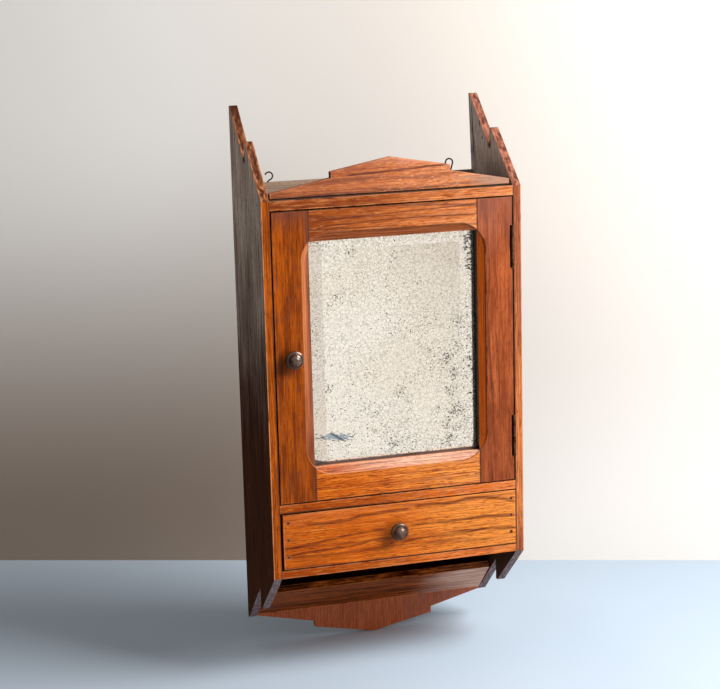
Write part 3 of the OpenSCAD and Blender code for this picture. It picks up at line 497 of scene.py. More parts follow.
def pocket_finish():
    material, place = new_finish("pocket_wood")
    x = place.axes()[0]
    _, face_y, face_z = facing(place)
    figure = Figure(place, "x", 43, ring=5.2, heart=(-10, -60), tilt=0.03, sway=16)
    colour = figure.streaked(tint(36, 9, 0), tint(174, 82, 30), 0.4, 0.6)
    colour = (figure.clouds.ease(0.45, 0.7) * 0.5).between(colour, tint(160, 84, 40))
    colour = (figure.lines * 0.8).between(colour, tint(50, 20, 8))
    colour = (figure.dashes * 0.6).between(colour, tint(52, 22, 10))
    faded = (x / 145 + (figure.clouds - 0.5) * 1.0).ease(0.25, 0.85)
    dusty = figure.streaked(tint(184, 134, 112), tint(246, 204, 184), 0.38, 0.62)
    colour = (faded * 0.8).between(colour, dusty)
    lip = (-face_y).ease(0.4, 0.6) * face_z.ease(0.3, 0.5)
    rubbed = figure.streaked(tint(240, 122, 44), tint(84, 30, 8), 0.54, 0.46)
    rubbed = (figure.clouds + x / 500).ease(0.5, 0.3).between(rubbed, tint(50, 22, 10))
    rubbed = (figure.mottle.ease(0.46, 0.58) * 0.6).between(rubbed, tint(46, 12, 8))
    colour = (lip * 0.9).between(colour, rubbed)
    colour = worn_edges(place, colour, 0.8, 1.5, tint(226, 128, 66))
    # Painted shade on the pocket board's inner face
    inside = face_y.ease(0.2, 0.5)
    colour = (inside * 0.9).between(colour, DIRT_AND_SHADE)
    return finish_wood(material, colour, figure, 0.45, 0.05)


dress("pocket_front", pocket_finish(), 0.6)

# Shelf, cleats and door stop
# Bare inner boards: the shelf lies on two nailed cleats, and the stop strip sits under the top board.
# They are only aged and dusty, with no varnish.


def bare_finish(name, along, seed, light, dark):
    """Unvarnished inner wood, dulled by age, with dust and finger marks."""
    material, place = new_finish(name)
    figure = Figure(place, along, seed, ring=4.6, heart=(20, 40), tilt=0.02, sway=14)
    colour = figure.streaked(dark, light, 0.32, 0.7)
    colour = (figure.lines * 0.5).between(colour, tint(96, 60, 36))
    colour = (figure.pores * 0.5).between(colour, tint(70, 44, 28))
    colour = (figure.clouds.ease(0.5, 0.75) * 0.4).between(colour, dark)
    colour = worn_edges(place, colour, 0.4, 1.0, tint(196, 158, 116))
    return finish_wood(material, colour, figure, 0.62, 0.0)


INNER_LIGHT = tint(176, 128, 84)
INNER_DARK = tint(124, 82, 50)
shelf_finish = bare_finish("shelf_wood", "x", 61, INNER_LIGHT, INNER_DARK)
strip_finish = bare_finish("strip_wood", "x", 67, tint(160, 112, 70), tint(110, 70, 42))
dress("shelf", shelf_finish, 0.5)
dress("door_stop", strip_finish, 0.4)
for side in ("left", "right"):
    dress(f"shelf_cleat_{side}", strip_finish, 0.4)

# Hanging hooks
# Two open hooks of 1.8 mm iron wire are screwed into the upper edge of the back board.
# They are blackened, with a little rust.


def iron_finish(name, rust):
    material, place = new_finish(name)
    grit = place.noise((0.8, 0.8, 0.8), 71, 3.0, 0.6)
    spots = place.noise((2.5, 2.5, 2.5), 73, 2.0).ease(0.5, 0.68) * rust
    colour = grit.ease(0.3, 0.7).between(tint(22, 21, 22), tint(52, 48, 46))
    colour = spots.highest(rust * 0.5).between(colour, tint(104, 58, 32))
    return lay_finish(material, colour, 0.42 + grit * 0.25, (grit, 0.4, 0.0001),
                      {"Metallic": 0.75 - spots * 0.6})


hook_iron = iron_finish("hook_iron", 0.35)
nail_iron = iron_finish("nail_iron", 0.8)
for side in ("left", "right"):
    dress(f"hook_{side}", hook_iron)

# Door frame
# Two stiles with upright grain are mortised for the rails; the four form one frame round the mirror.
# The opening has a hollow moulding with round corners, cut deeper than the face, and the stiles
# were stained redder than the rails. Dirt has gathered in the joint lines.

glass_low, glass_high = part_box("mirror_plate")
stile_low, stile_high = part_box("door_stile_left")
door_half = -stile_low.x * 1000
door_bottom = stile_low.z * 1000
door_top = stile_high.z * 1000
# The opening that shows the mirror, and the width and corner radius of the moulding round it
sight_half = -stile_high.x * 1000
sight_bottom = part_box("door_rail_bottom")[1].z * 1000
sight_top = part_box("door_rail_top")[0].z * 1000
mould_width = 9.5
mould_radius = 32.4


def moulding_masks(place):
    """Where the sunk ledge of the moulding is, and how far in mm a place is past its outline."""
    x, y, z = place.axes()
    half_w = sight_half + mould_width
    middle = (sight_bottom + sight_top) / 2
    half_h = (sight_top - sight_bottom) / 2 + mould_width
    from_x = (abs(x) - (half_w - mould_radius)).highest(0.0)
    from_z = (abs(z - middle) - (half_h - mould_radius)).highest(0.0)
    beyond = (from_x * from_x + from_z * from_z) ** 0.5 - mould_radius
    ledge = y.ease(case_front + 0.35, case_front + 0.8) * beyond.ease(0.6, -0.1)
    return ledge, beyond


def door_back(figure):
    """The plain brown stain on the frame's back."""
    colour = figure.streaked(tint(84, 44, 24), tint(136, 82, 50), 0.36, 0.64)
    grain = figure.lines.highest(figure.pores * 0.7, figure.dashes * 0.7)
    return grain.between(colour, tint(62, 32, 18))


def rail_finish(name, seed, upper, heart, tilt, lighter, contrast, veins):
    """Varnish with the grain from side to side, the sunk ledge with painted light and shade, and the
    joint lines.
    """
    material, place = new_finish(name)
    x, y, z = place.axes()
    figure = Figure(place, "x", seed, ring=4.2, heart=heart, tilt=tilt, sway=8)
    palette = RUSSET if upper else ORANGE
    colour = front_varnish(figure, palette, lighter, contrast)
    for points in veins:
        dark_vein = vein(figure, points, 1.5, seed + points[0][1], 0.6)
        colour = (dark_vein * 0.8).between(colour, palette["line"])
    ledge, beyond = moulding_masks(place)
    # Painted shade on the top rail's ledge, which faces down; painted light on the bottom rail's
    # ledge, which faces up, pale towards the right
    if upper:
        sunk = figure.streaked(tint(120, 58, 26), tint(180, 98, 56))
        outline_shading_share, outline_shading_tint = 0.75, tint(74, 32, 20)
    else:
        sunk = figure.streaked(tint(104, 52, 42), tint(216, 112, 58), 0.42, 0.58)
        faded_and_lit = figure.streaked(tint(194, 134, 116), tint(250, 206, 176), 0.4, 0.58)
        sunk = (x.ease(-95, 10) * 0.85).between(sunk, faded_and_lit)
        sunk = (figure.dashes.highest(figure.pores) * 0.5).between(sunk, tint(112, 56, 44))
        # A painted highlight along the glass edge of the ledge
        glass_side_highlight = near(abs(z - sight_bottom), 1.4)
        sunk = (glass_side_highlight * 0.35).between(sunk, tint(240, 186, 158))
        shaded_corner = x.ease(58, 76)
        outline_shading_share = shaded_corner * 0.35 + 0.4
        outline_shading_tint = shaded_corner.between(tint(244, 186, 150), tint(74, 32, 20))
    colour = (ledge * 0.9).between(colour, sunk)
    # Along the ledge's outline: painted shade under the top rail and at the bottom rail's right
    # corner, a painted highlight elsewhere on the bottom rail
    outline = abs(beyond - 0.2).ease(0.9, 0.2) * (1 - ledge * 0.5)
    colour = (outline * outline_shading_share).between(colour, outline_shading_tint)
    inner = y.ease(case_front + 4, case_front + 9)
    colour = inner.between(colour, door_back(figure))
    colour = worn_edges(place, colour, 0.5 - ledge * 0.4)
    seam = abs(abs(x) - sight_half).ease(1.4, 0.4) * figure.flecks.ease(0.15, 0.4)
    colour = (seam * (1 - ledge) * 0.85).between(colour, tint(66, 36, 32))
    gap = (z - door_bottom).lowest(door_top - z)
    colour = (near(gap, 1.1) * 0.75).between(colour, DIRT_AND_SHADE)
    return finish_wood(material, colour, figure, 0.4, 0.05)


def knob_middle(node):
    """The middle of a knob in mm."""
    low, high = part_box(node)
    return (low + high) * 500


def stile_finish(name, seed, left, veins):
    """Stain with upright grain; the left stile is also dark round its knob from hands and the knob's
    painted shadow, and the moulding carries painted light and shade.
    """
    material, place = new_finish(name)
    x, y, z = place.axes()
    if left:
        heart, light, dark = (-150, 40), tint(190, 90, 12), tint(104, 40, 4)
    else:
        heart, light, dark = (60, 40), tint(188, 98, 54), tint(124, 54, 24)
    figure = Figure(place, "z", seed, ring=5.0, heart=heart, tilt=0.02, sway=16)
    colour = figure.streaked(dark, light, 0.32, 0.68)
    broad = figure.grain.noise((60, 11, 30), seed + 41, 2.0)
    colour = (broad.ease(0.5, 0.34) * 0.6).between(colour, dark)
    colour = (broad.ease(0.5, 0.66) * 0.6).between(colour, light)
    colour = (figure.mottle.ease(0.5, 0.64) * 0.3).between(colour, dark)
    colour = (figure.lines * 0.6).between(colour, tint(84, 34, 22))
    colour = (figure.dashes * 0.5).between(colour, tint(80, 30, 16))
    colour = (figure.pores * 0.5).between(colour, tint(76, 30, 18))
    if left:
        haze = (z + (figure.streaks - 0.5) * 60).ease(405, 436)
        inner_haze = x.ease(-110, -102) * z.ease(330, 400)
        haze = haze.highest(inner_haze * 0.8, figure.flecks.ease(0.58, 0.72) * 0.7)
        colour = (haze * 0.75).between(colour, tint(102, 62, 52))
    else:
        haze = (figure.clouds * 0.5 + figure.streaks * 0.4 + z.ease(270, 440) * 0.5).ease(0.65, 1.1)
        colour = (haze * 0.7).between(colour, tint(138, 90, 78))
        low = z.ease(230, 130) * figure.flecks.ease(0.25, 0.6)
        colour = (low * 0.3).between(colour, tint(96, 40, 26))
    for points in veins:
        dark_vein = vein(figure, points, 1.5, seed + points[0][1], 0.6)
        colour = (dark_vein * 0.6).between(colour, tint(84, 36, 30))
    if left:
        # A dark patch a little left of the knob and below it: hand grime, and the knob's painted
        # shadow
        knob = knob_middle("door_knob")
        off_x = x - knob.x + 6
        off_z = z - knob.z + 5
        reach = (off_x * off_x + off_z * off_z * 0.6) ** 0.5
        hand_marks_and_knob_shadow = (reach + (figure.flecks - 0.5) * 6).ease(17, 8)
        colour = (hand_marks_and_knob_shadow * 0.6).between(colour, tint(58, 24, 8))
    ledge, beyond = moulding_masks(place)
    if left:
        sunk = figure.streaked(tint(96, 48, 32), tint(156, 88, 60), 0.3, 0.7)
        crown = beyond.ease(-6.6, -3.6) * (z.ease(160, 330) * 0.6 + 0.2)
        sunk = crown.between(sunk, figure.streaked(tint(182, 104, 60), tint(208, 132, 86), 0.4, 0.6))
        sunk = (near(abs(x) - sight_half, 1.6) * 0.7).between(sunk, tint(66, 34, 26))
        sunk = (z.ease(190, 150) * 0.6).between(sunk, tint(96, 42, 20))
        outline_shading_wide, outline_shading_share, outline_shading_tint, reveal_shade_share = 0.8, 0.4, tint(214, 136, 92), 0.5
    else:
        sunk = figure.streaked(tint(146, 56, 4), tint(200, 92, 14), 0.3, 0.7)
        outline_shading_wide, outline_shading_share, outline_shading_tint, reveal_shade_share = 1.4, 0.85, tint(52, 20, 12), 1.0
    colour = (ledge * 0.9).between(colour, sunk)
    # Along the ledge's outline: a painted highlight on the left stile and a painted shade line on the
    # right one
    outline = abs(beyond - 0.2).ease(outline_shading_wide, 0.2) * (1 - ledge * 0.5)
    colour = (outline * outline_shading_share).between(colour, outline_shading_tint)
    # Painted shade, with dirt, on the wall of the opening: full on the right stile, half on the left
    reveal_shade = abs(x).ease(sight_half + 0.7, sight_half + 0.3)
    reveal_shade = reveal_shade * y.ease(case_front + 2.5, case_front + 3.6)
    colour = (reveal_shade * reveal_shade_share).between(colour, tint(14, 8, 6))
    inner = y.ease(case_front + 12, case_front + 14)
    colour = inner.between(colour, door_back(figure))
    colour = worn_edges(place, colour, 0.45)
    seam_z = z.ease(sight_top - 2, sight_top + 2).highest(z.ease(sight_bottom + 2, sight_bottom - 2))
    seam = abs(abs(x) - sight_half).ease(1.6, 0.4) * seam_z * (1 - ledge)
    colour = (seam * 0.8).between(colour, tint(62, 36, 36))
    gap = (z - door_bottom).lowest(door_top - z, door_half - abs(x))
    colour = (near(gap, 0.8) * 0.7).between(colour, DIRT_AND_SHADE)
    return finish_wood(material, colour, figure, 0.4, 0.05)


# The dark veins of the right stile and the top rail: places along and across the grain
STILE_VEINS = (((164, 126), (237, 125), (273, 121)), ((189, 117), (256, 114), (310, 112)))
RAIL_VEINS = (((-94, 416.2), (8, 420.2), (100, 423)), ((-95, 403.2), (-34, 412), (100, 411.7)))
dress("door_stile_left", stile_finish("stile_left_varnish", 81, True, ()), 0.5)
dress("door_stile_right", stile_finish("stile_right_varnish", 87, False, STILE_VEINS), 0.5)
dress("door_rail_top",
      rail_finish("rail_top_varnish", 91, True, (360, 4), 0.04, -0.14, 1.05, RAIL_VEINS), 0.4)
dress("door_rail_bottom",
      rail_finish("rail_bottom_varnish", 97, False, (150, 20), 0.03, 0.3, 1.6, ()), 0.4)

# Mirror plate and its backing
# A bevelled glass plate with silver on its back lies in the door's rebate, under a thin panel that
# brads hold. Damp has crackled the silvering, freckled it black, most along the right edge, and
# eaten one blue-grey patch near the lower left corner.

bevel_wide = 21.0
glass_half = glass_high.x * 1000
glass_bottom = glass_low.z * 1000
glass_top = glass_high.z * 1000
# Middle of the blue-grey patch
patch_at_x, patch_at_z = -72.6, 160.6
# Where damp has eaten the silver most: middle and reach of each cluster of black specks
SPECK_CLUSTERS = (
    (66, 243, 9), (78, 255, 7), (72, 222, 8), (69, 202, 11), (54, 184, 7), (75, 180, 12),
    (64, 166, 8), (76, 157, 7), (66, 145, 10), (78, 288, 6), (6, 208, 8), (-4, 146, 8),
    (-78, 219, 8), (-77, 184, 8), (-24, 184, 6), (-62, 181, 4), (-28, 164, 7), (-49, 379, 9),
    (-68, 327, 6), (-77, 316, 4), (-6, 297, 7), (4, 370, 5))


def mirror_finish():
    material, place = new_finish("old_silvering")
    x, _, z = place.axes()
    flat = place.node("CombineXYZ", None, {"X": x, "Y": z})
    shaken = flat.node("VectorMath", {"operation": "MULTIPLY_ADD"}, {
        0: flat.node("TexNoise", None, {"Vector": flat, "Scale": 0.35, "Detail": 2.0}, out=1),
        1: (2.6, 2.6, 0.0), 2: flat})
    cells = shaken.node("TexVoronoi", {"feature": "DISTANCE_TO_EDGE"},
                        {"Vector": shaken, "Scale": 0.24})
    gaps = flat.noise((4, 4, 4), 101, 4.0, 0.7)
    worms = abs(flat.noise((3.6, 3.6, 3.6), 104, 2.0) - 0.5).ease(0.03, 0.012)
    crackle = cells.ease(0.15, 0.06) * (gaps.ease(0.4, 0.56) * 0.5 + 0.4)
    crackle = crackle.highest(worms * gaps.ease(0.48, 0.6) * 0.8)
    damp = (flat.noise((46, 46, 46), 103, 2.0) - 0.5) * 0.5
    wander = flat.node("TexNoise", None, {"Vector": flat, "Scale": 0.09, "Detail": 3.0}, out=1)
    strayed = wander.node("VectorMath", {"operation": "MULTIPLY_ADD"},
                          {0: wander, 1: (16.0, 16.0, 0.0), 2: flat}).axes()
    spots = []
    for spot_x, spot_z, reach in SPECK_CLUSTERS:
        far = ((strayed[0] - (spot_x + 8)) ** 2 + (strayed[1] - (spot_z + 8)) ** 2) ** 0.5
        spots.append(far.ease(reach * 1.25, reach * 0.2))
    eaten_spots = spots[0].highest(*spots[1:])
    lower_right = x.ease(10, 75) * z.ease(290, 220)
    dense = damp + lower_right * 0.07 + x.ease(60, 95) * 0.02 + z.ease(260, 150) * 0.03
    specks = flat.noise((1.5, 1.5, 1.5), 105, 0.0) + dense * 0.5 + eaten_spots * 0.13
    specks = specks.ease(0.7, 0.73)
    grains = flat.noise((2.4, 2.0, 2.6), 106, 0.0) + dense * 0.5 + eaten_spots * 0.13
    grains = grains.ease(0.76, 0.79)
    right_edge = x.ease(glass_half - 26, glass_half - 12)
    eaten_high = z.ease(332, 350) + z.ease(300, 262) * 0.45 * z.ease(140, 190)
    eaten = right_edge * x.ease(sight_half - 0.5, sight_half - 4) * eaten_high
    blots = (flat.noise((4.6, 3.6, 3.6), 107, 3.0, 0.6) + eaten * 0.19).ease(0.68, 0.71) * right_edge
    off_x = x - patch_at_x
    bent = off_x * 0.1 + (flat.noise((6, 60, 6), 110, 2.0) - 0.5) * 9
    off_z = z - patch_at_z + bent
    ragged = (flat.noise((5, 1.6, 2), 109, 3.0) - 0.5) * 3.6
    patch_far = ((off_x / 15) ** 4 + (off_z / 3.4) ** 4) ** 0.25 + ragged
    patch = patch_far.ease(1.0, 0.8)
    scar = abs((x + 70) * 0.7 + (z - 160)).ease(2.4, 0.8)
    scar = scar * patch_far.ease(1.6, 1.2) * x.ease(-82, -78)
    broken = flat.noise((4, 2.4, 4), 112, 2.0).ease(0.44, 0.52)
    patch_rim = patch_far.ease(1.5, 1.05) * (1 - patch) * broken

    # The colours, from the silver up
    clouded = flat.noise((90, 90, 90), 113, 2.0).ease(0.35, 0.65)
    cream = clouded.between(tint(250, 243, 230), tint(255, 252, 242))
    top_corner = (x / 100 + (z - 260) / 130).ease(0.2, 1.8)
    cream = (top_corner * 0.65).between(cream, tint(212, 199, 182))
    rim_dist = (glass_half - abs(x)).lowest(glass_top - z, z - glass_bottom)
    # Painted reflections on the glass bevels: darker on the left bevel, lighter on the top and right
    # ones, and a bright glint along the bevels' inner edge
    left_bevel_dark_reflection = (x + glass_half).ease(bevel_wide + 0.4, bevel_wide - 0.4)
    cream = (left_bevel_dark_reflection * 0.55).between(cream, tint(224, 212, 198))
    bevel_edge_glint = abs(rim_dist - bevel_wide).ease(1.5, 0.3)
    cream = (bevel_edge_glint * 0.6).between(cream, tint(254, 251, 244))
    top_bevel_reflection = (glass_top - z).ease(bevel_wide + 0.4, bevel_wide - 0.4) * (1 - left_bevel_dark_reflection)
    right_bevel_reflection = x.ease(glass_half - bevel_wide - 0.4, glass_half - bevel_wide + 0.4)
    cream = (top_bevel_reflection.highest(right_bevel_reflection) * 0.7).between(cream, tint(252, 247, 237))
    clear = x.ease(10, -50) * z.ease(270, 200) * 0.4
    cream = (crackle * (0.48 + damp * 0.5) * (1 - clear)).between(cream, tint(138, 130, 112))
    colour = (specks * 0.58).between(cream, tint(92, 86, 74))
    colour = (grains * 0.88).between(colour, tint(46, 42, 38))
    colour = (blots * 0.95).between(colour, tint(18, 17, 16))
    colour = (patch * 0.9).between(colour, tint(122, 146, 160))
    colour = (patch_rim.highest(scar * 0.85) * 0.9).between(colour, tint(40, 42, 48))
    # Along the foot and the sides of the opening: dirt, and the painted dark reflection of the
    # opening's wall
    wavy = (flat.noise((9, 9, 9), 115, 2.0) - 0.5) * 1.6
    foot_band_top = sight_bottom + 2.7 + x.ease(-84, -100) * 3.5 + wavy
    foot_dirt_and_reflection = (z - foot_band_top).ease(0.5, -0.5)
    blacker = x.ease(-80, -98).highest(abs(x - 17).ease(14, 6))
    foot_tint = blacker.between(tint(78, 68, 72), tint(26, 20, 22))
    colour = (foot_dirt_and_reflection * 0.92).between(colour, foot_tint)
    side_dirt_and_reflection = (x + sight_half).ease(1.6, 0.8) * z.ease(330, 180) + (sight_half - x).ease(1.4, 0.7)
    colour = (side_dirt_and_reflection.lowest(1.0) * 0.85).between(colour, tint(40, 34, 24))
    dull = (crackle * 0.2 + specks * 0.5 + grains * 0.8 + blots + patch * 0.8 + foot_dirt_and_reflection).lowest(1.0)
    return lay_finish(material, colour, 0.12 + dull * 0.4, (1 - dull, 0.05, 0.0002), {
        "Metallic": 1 - dull * 0.7, "Coat Weight": 1.0, "Coat Roughness": 0.03})


dress("mirror_plate", mirror_finish())
dress("mirror_backing", bare_finish("backing_wood", "z", 117, INNER_LIGHT, INNER_DARK), 0.3)
dress("backing_brads", nail_iron)

# Hinges
# Two small brass butt hinges let into the right side board and the right stile, five knuckles each.
# The brass has gone brown and only its rubbed edges still shine.


def brass_finish():
    material, place = new_finish("tarnished_brass")
    grime = place.noise((5, 5, 9), 121, 3.0, 0.6)
    scratch = place.noise((0.7, 0.7, 6), 127, 2.0)
    colour = grime.ease(0.35, 0.68).between(tint(58, 36, 26), tint(128, 88, 60))
    rub = arris(place, 0.5).ease(0.2, 0.45)
    colour = (rub * 0.35).between(colour, tint(196, 156, 108))
    roughness = 0.34 + grime.ease(0.65, 0.35) * 0.3
    return lay_finish(material, colour, roughness, (scratch, 0.3, 0.0001), {"Metallic": 0.85})


brass = brass_finish()
for level in ("upper", "lower"):
    for part in ("case_leaf", "door_leaf", "pin"):
        dress(f"{level}_hinge_{part}", brass)

# Nails and screws
# Cut iron nails join the case and the drawer, and iron screws hold the hinges, crest and knobs.
# Their heads are sunk a little and have rusted.

for group in ("case_leaf_screws", "door_leaf_screws", "side_nails_left", "side_nails_right",
              "back_nails", "crest_screws", "cleat_nails", "stop_nails", "door_knob_screw",
              "drawer_knob_screw", "drawer_front_nails", "drawer_back_nails", "drawer_bottom_nails"):
    dress(group, nail_iron)

# Knobs
# Both knobs are turned: a low dome on a grooved rim and a short neck.
# They have a dark bronze patina, rubbed lighter where fingers hold them.


def knob_finish(knob, seed):
    material, place = new_finish(f"{knob}_bronze")
    y = place.axes()[1]
    low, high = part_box(knob)
    grime = place.noise((6, 6, 6), seed, 3.0, 0.6)
    turned = place.noise((30, 0.6, 30), seed + 1, 2.0)
    proud = (high.y * 1000 - y) / ((high.y - low.y) * 1000)
    colour = grime.ease(0.3, 0.7).between(tint(36, 22, 16), tint(98, 68, 52))
    hand_marks_and_knob_shadow = proud.ease(0.45, 0.95) * grime.ease(0.35, 0.6)
    colour = (hand_marks_and_knob_shadow * 0.5).between(colour, tint(132, 102, 86))
    groove = arris(place, 1.5).ease(0.25, 0.45)
    colour = (groove * 0.3).between(colour, tint(176, 140, 112))
    roughness = 0.24 + grime.ease(0.6, 0.3) * 0.2
    return lay_finish(material, colour, roughness, (turned + grime, 0.25, 0.0002), {
        "Metallic": 0.6, "Coat Weight": 0.6, "Coat Roughness": 0.1})


for knob, seed in (("door_knob", 131), ("drawer_knob", 137)):
    dress(knob, knob_finish(knob, seed))

# Drawer
# A box of bare boards behind a varnished front, nailed through the front at both ends.
# The front has strong wavy veins; grime rings the nail heads, and hand grime with the knob's painted
# shadow lies by the knob.

drawer_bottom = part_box("drawer_front")[0].z * 1000
nail_low, nail_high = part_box("drawer_front_nails")
nail_radius = 1.5
nail_left = nail_low.x * 1000 + nail_radius
nail_right = nail_high.x * 1000 - nail_radius
nail_lowest = nail_low.z * 1000 + nail_radius
nail_highest = nail_high.z * 1000 - nail_radius
nail_heights = (nail_lowest, (nail_lowest + nail_highest) / 2, nail_highest)
# The dark veins of the front: points along each, the width of its band, and a seed
DRAWER_VEINS = (
    (((-117, 65.4), (-83, 61.4), (-40, 66.3), (12, 68.1)), 3.2, 143),
    (((-133, 36.9), (-94, 40), (-62, 44.1), (-18, 46.3)), 2.4, 145),
    (((10, 48.4), (57, 47), (108, 47.3), (145, 43.1)), 3.0, 147),
    (((-1, 26.1), (23, 30), (53, 30.1), (87, 31.1), (108, 32.9), (145, 29.7)), 2.6, 149),
    (((18, 69.7), (41, 70.3), (66, 69.6), (88, 72.2), (114, 69.3), (146, 61.7)), 3.2, 151),
    (((-138, 27.4), (-87, 29.9), (-63, 30.6), (-38, 33.9)), 2.6, 153),
)


def drawer_front_finish():
    material, place = new_finish("drawer_front_varnish")
    x, y, z = place.axes()
    figure = Figure(place, "x", 141, ring=4.4, heart=(-40, 10), tilt=0.02, sway=16)
    colour = front_varnish(figure, ORANGE, 0.2, 1.2, 0.8, 0.05)
    bands = [vein(figure, points, width, seed) for points, width, seed in DRAWER_VEINS]
    # A pale haze towards the top, partly dust and partly painted sheen
    haze_and_sheen = z.ease(52, 74) * figure.flecks.ease(0.35, 0.65)
    colour = (haze_and_sheen * 0.3).between(colour, tint(204, 116, 72))
    colour = (bands[0].highest(*bands[1:]) * 0.88).between(colour, ORANGE["line"])
    from_end = (x - nail_left).lowest(nail_right - x)
    stains = []
    for height in nail_heights:
        from_nail = z - height
        stains.append(((from_end * from_end + from_nail * from_nail) ** 0.5).ease(3.0, 1.3))
    colour = (stains[0].highest(*stains[1:]) * 0.8).between(colour, tint(70, 38, 24))
    # Hand grime and the knob's painted shadow, a little left of the knob and below it
    knob = knob_middle("drawer_knob")
    off_x = x - knob.x + 6
    off_z = z - knob.z + 4
    reach = (off_x * off_x * 0.6 + off_z * off_z) ** 0.5
    hand_marks_and_knob_shadow = (reach + (figure.flecks - 0.5) * 8).ease(22, 7)
    colour = (hand_marks_and_knob_shadow * 0.5).between(colour, tint(112, 50, 18))
    inner = y.ease(case_front + 3, case_front + 7)
    colour = inner.between(colour, INNER_DARK)
    colour = worn_edges(place, colour, 0.7, 2.6)
    colour = (near(z - drawer_bottom, 1.5) * 0.85).between(colour, DIRT_AND_SHADE)
    return finish_wood(material, colour, figure, 0.4, 0.05 * (1 - inner))


dress("drawer_front", drawer_front_finish(), 0.7)
drawer_wood = bare_finish("drawer_wood", "x", 163, INNER_LIGHT, INNER_DARK)
for board in ("drawer_back", "drawer_bottom"):
    dress(board, drawer_wood, 0.4)
drawer_side_wood = bare_finish("drawer_side_wood", "y", 167, INNER_LIGHT, INNER_DARK)
for side in ("left", "right"):
    dress(f"drawer_side_{side}", drawer_side_wood, 0.4)

# Floor and wall
# Stage only: a pale blue-grey floor that the apron's point touches, and a cream wall behind.
# Both fade out far away and can't be seen from their backs.


def floor_colour(place):
    x = place.axes()[0]
    paper = place.noise((400, 400, 400), 171, 3.0).ease(0.3, 0.7)
    plain = paper.between(tint(192, 208, 225), tint(197, 213, 230))
    # Painted shade: the floor is darker towards the left
    return (x.ease(100, -450) * 0.8).between(plain, tint(186, 199, 214))


def wall_colour(place):
    """Cream paint with painted light, lighter on the left and at the lower right, and the painted
    soft brown shadow of the cabinet to its left.
    """
    x, y, _ = place.axes()
    cream = x.ease(150, -350).between(tint(237, 230, 223), tint(255, 253, 250))
    cream = (y.ease(330, 60) * x.ease(100, 250)).between(cream, tint(250, 243, 236))
    return (y.ease(640, 60) * x.ease(80, -160) * 0.8).between(cream, tint(142, 112, 84))


def stage_plane(name, size, colour, matrix, fade):
    """A one-sided plane that fades out between the two fade distances from its middle, in m."""
    mesh = bpy.data.meshes.new(name)
    half = size / 2
    mesh.from_pydata([(-half, -half, 0), (half, -half, 0), (half, half, 0), (-half, half, 0)], [],
                     [(0, 1, 2, 3)])
    plane = bpy.data.objects.new(name, mesh)
    bpy.context.scene.collection.objects.link(plane)
    plane.matrix_world = matrix
    material, place = new_finish(name)
    mesh.materials.append(material)
    x, y, _ = place.axes()
    away = ((x * x + y * y) ** 0.5) / 1000
    gone = away.ease(fade[0], fade[1]).highest(place.node("NewGeometry", out="Backfacing"))
    matt = place.node("BsdfPrincipled", None, {"Base Color": colour(place), "Roughness": 0.9,
                                               "Specular IOR Level": 0.1})
    clear = place.node("BsdfTransparent", None, {"Color": (1, 1, 1, 1)})
    shader = place.node("MixShader", None, {0: gone, 1: matt, 2: clear})
    shader.node("OutputMaterial", None, {"Surface": shader})
    plane.visible_glossy = False
    return plane


stage_size = 12.0
wall_foot = Matrix.Translation((0.069, 0.266, cad_box[0].z))
wall_turn = Matrix.Rotation(math.radians(-21.3), 4, "Z") @ Matrix.Rotation(math.radians(90), 4, "X")
stage_plane("floor", stage_size, floor_colour, wall_foot, fade=(0.9, 2.0))
wall = stage_plane("wall", stage_size, wall_colour, wall_foot @ wall_turn, fade=(3.5, 5.5))
wall.visible_diffuse = False
wall.visible_shadow = False

# Light
# One large soft lamp above and to the right of the front, and an even pale room that is darker on
# the left. Metal and glass show it as cream that darkens to the left; seen directly it is plain.

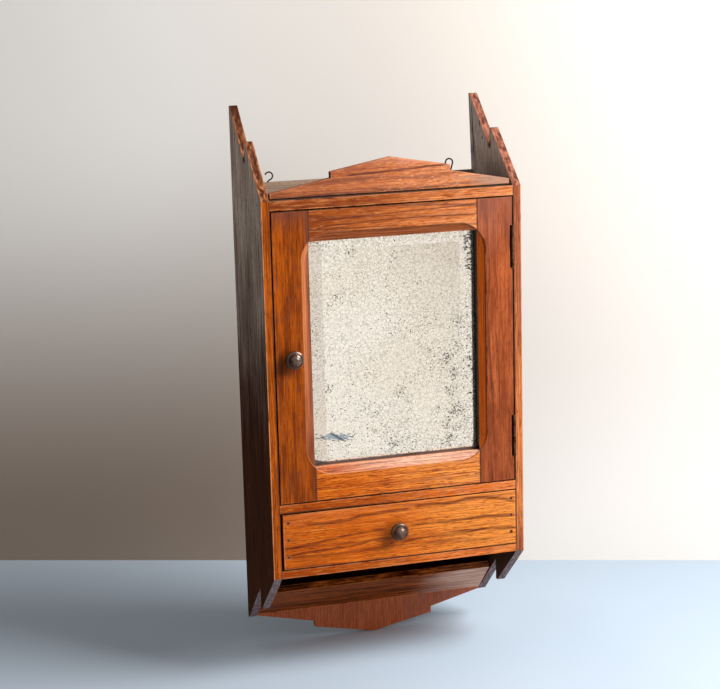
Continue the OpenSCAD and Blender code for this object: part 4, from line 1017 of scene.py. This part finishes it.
world = bpy.data.worlds.new("room")
world.use_nodes = True
world.node_tree.nodes.clear()
bpy.context.scene.world = world
air = Wire(world.node_tree)
right, back, up = air.node("TexCoord", out="Generated").axes()
brighter_side = (right * 0.75 - back * 0.55 + up * 0.35).ease(-0.9, 0.8)
path = air.node("LightPath").socket.node.outputs
camera_ray = Wire(world.node_tree, path["Is Camera Ray"])
glossy_ray = Wire(world.node_tree, path["Is Glossy Ray"])
clear_ray = Wire(world.node_tree, path["Is Transmission Ray"])
fill = brighter_side.between((0.11, 0.106, 0.10, 1), (0.42, 0.40, 0.38, 1))
shown = brighter_side.between((0.10, 0.095, 0.09, 1), (0.98, 0.94, 0.90, 1))
seen = glossy_ray.highest(clear_ray).between(fill, shown)
seen = camera_ray.between(seen, tint(238, 230, 220))
sky = seen.node("Background", None, {"Color": seen, "Strength": 1.0})
sky.node("OutputWorld", None, {"Surface": sky})

lamp_turn = math.radians(53)
lamp_rise = math.radians(37)
lamp_away = 1.5
lamp_size = 0.9
case_middle = (cad_box[0] + cad_box[1]) / 2
lamp = bpy.data.lights.new("lamp", "AREA")
lamp.size = lamp_size
lamp.energy = 38
lamp.color = (1.0, 0.98, 0.95)
lamp_stand = bpy.data.objects.new("lamp", lamp)
bpy.context.scene.collection.objects.link(lamp_stand)
lamp_stand.matrix_world = (Matrix.Translation(case_middle) @ Matrix.Rotation(lamp_turn, 4, "Z")
                           @ Matrix.Rotation(math.radians(90) - lamp_rise, 4, "X")
                           @ Matrix.Translation((0, 0, lamp_away)))

# Camera
# It stands to the left of the cabinet and a little above it, as the photograph was taken.

camera = bpy.data.cameras.new("camera")
camera.sensor_width = 36
camera.lens = 99.95
viewer = bpy.data.objects.new("camera", camera)
bpy.context.scene.collection.objects.link(viewer)
view_turn = math.radians(-16.612)
view_down = math.radians(12.120)
view_roll = math.radians(-1.49)
view_from = (-0.685193, -2.289364, 0.751942)
viewer.matrix_world = (Matrix.Translation(view_from)
                       @ Matrix.Rotation(view_turn, 4, "Z")
                       @ Matrix.Rotation(math.radians(90) - view_down, 4, "X")
                       @ Matrix.Rotation(view_roll, 4, "Z"))
bpy.context.scene.camera = viewer
bpy.context.scene.view_settings.view_transform = "Standard"
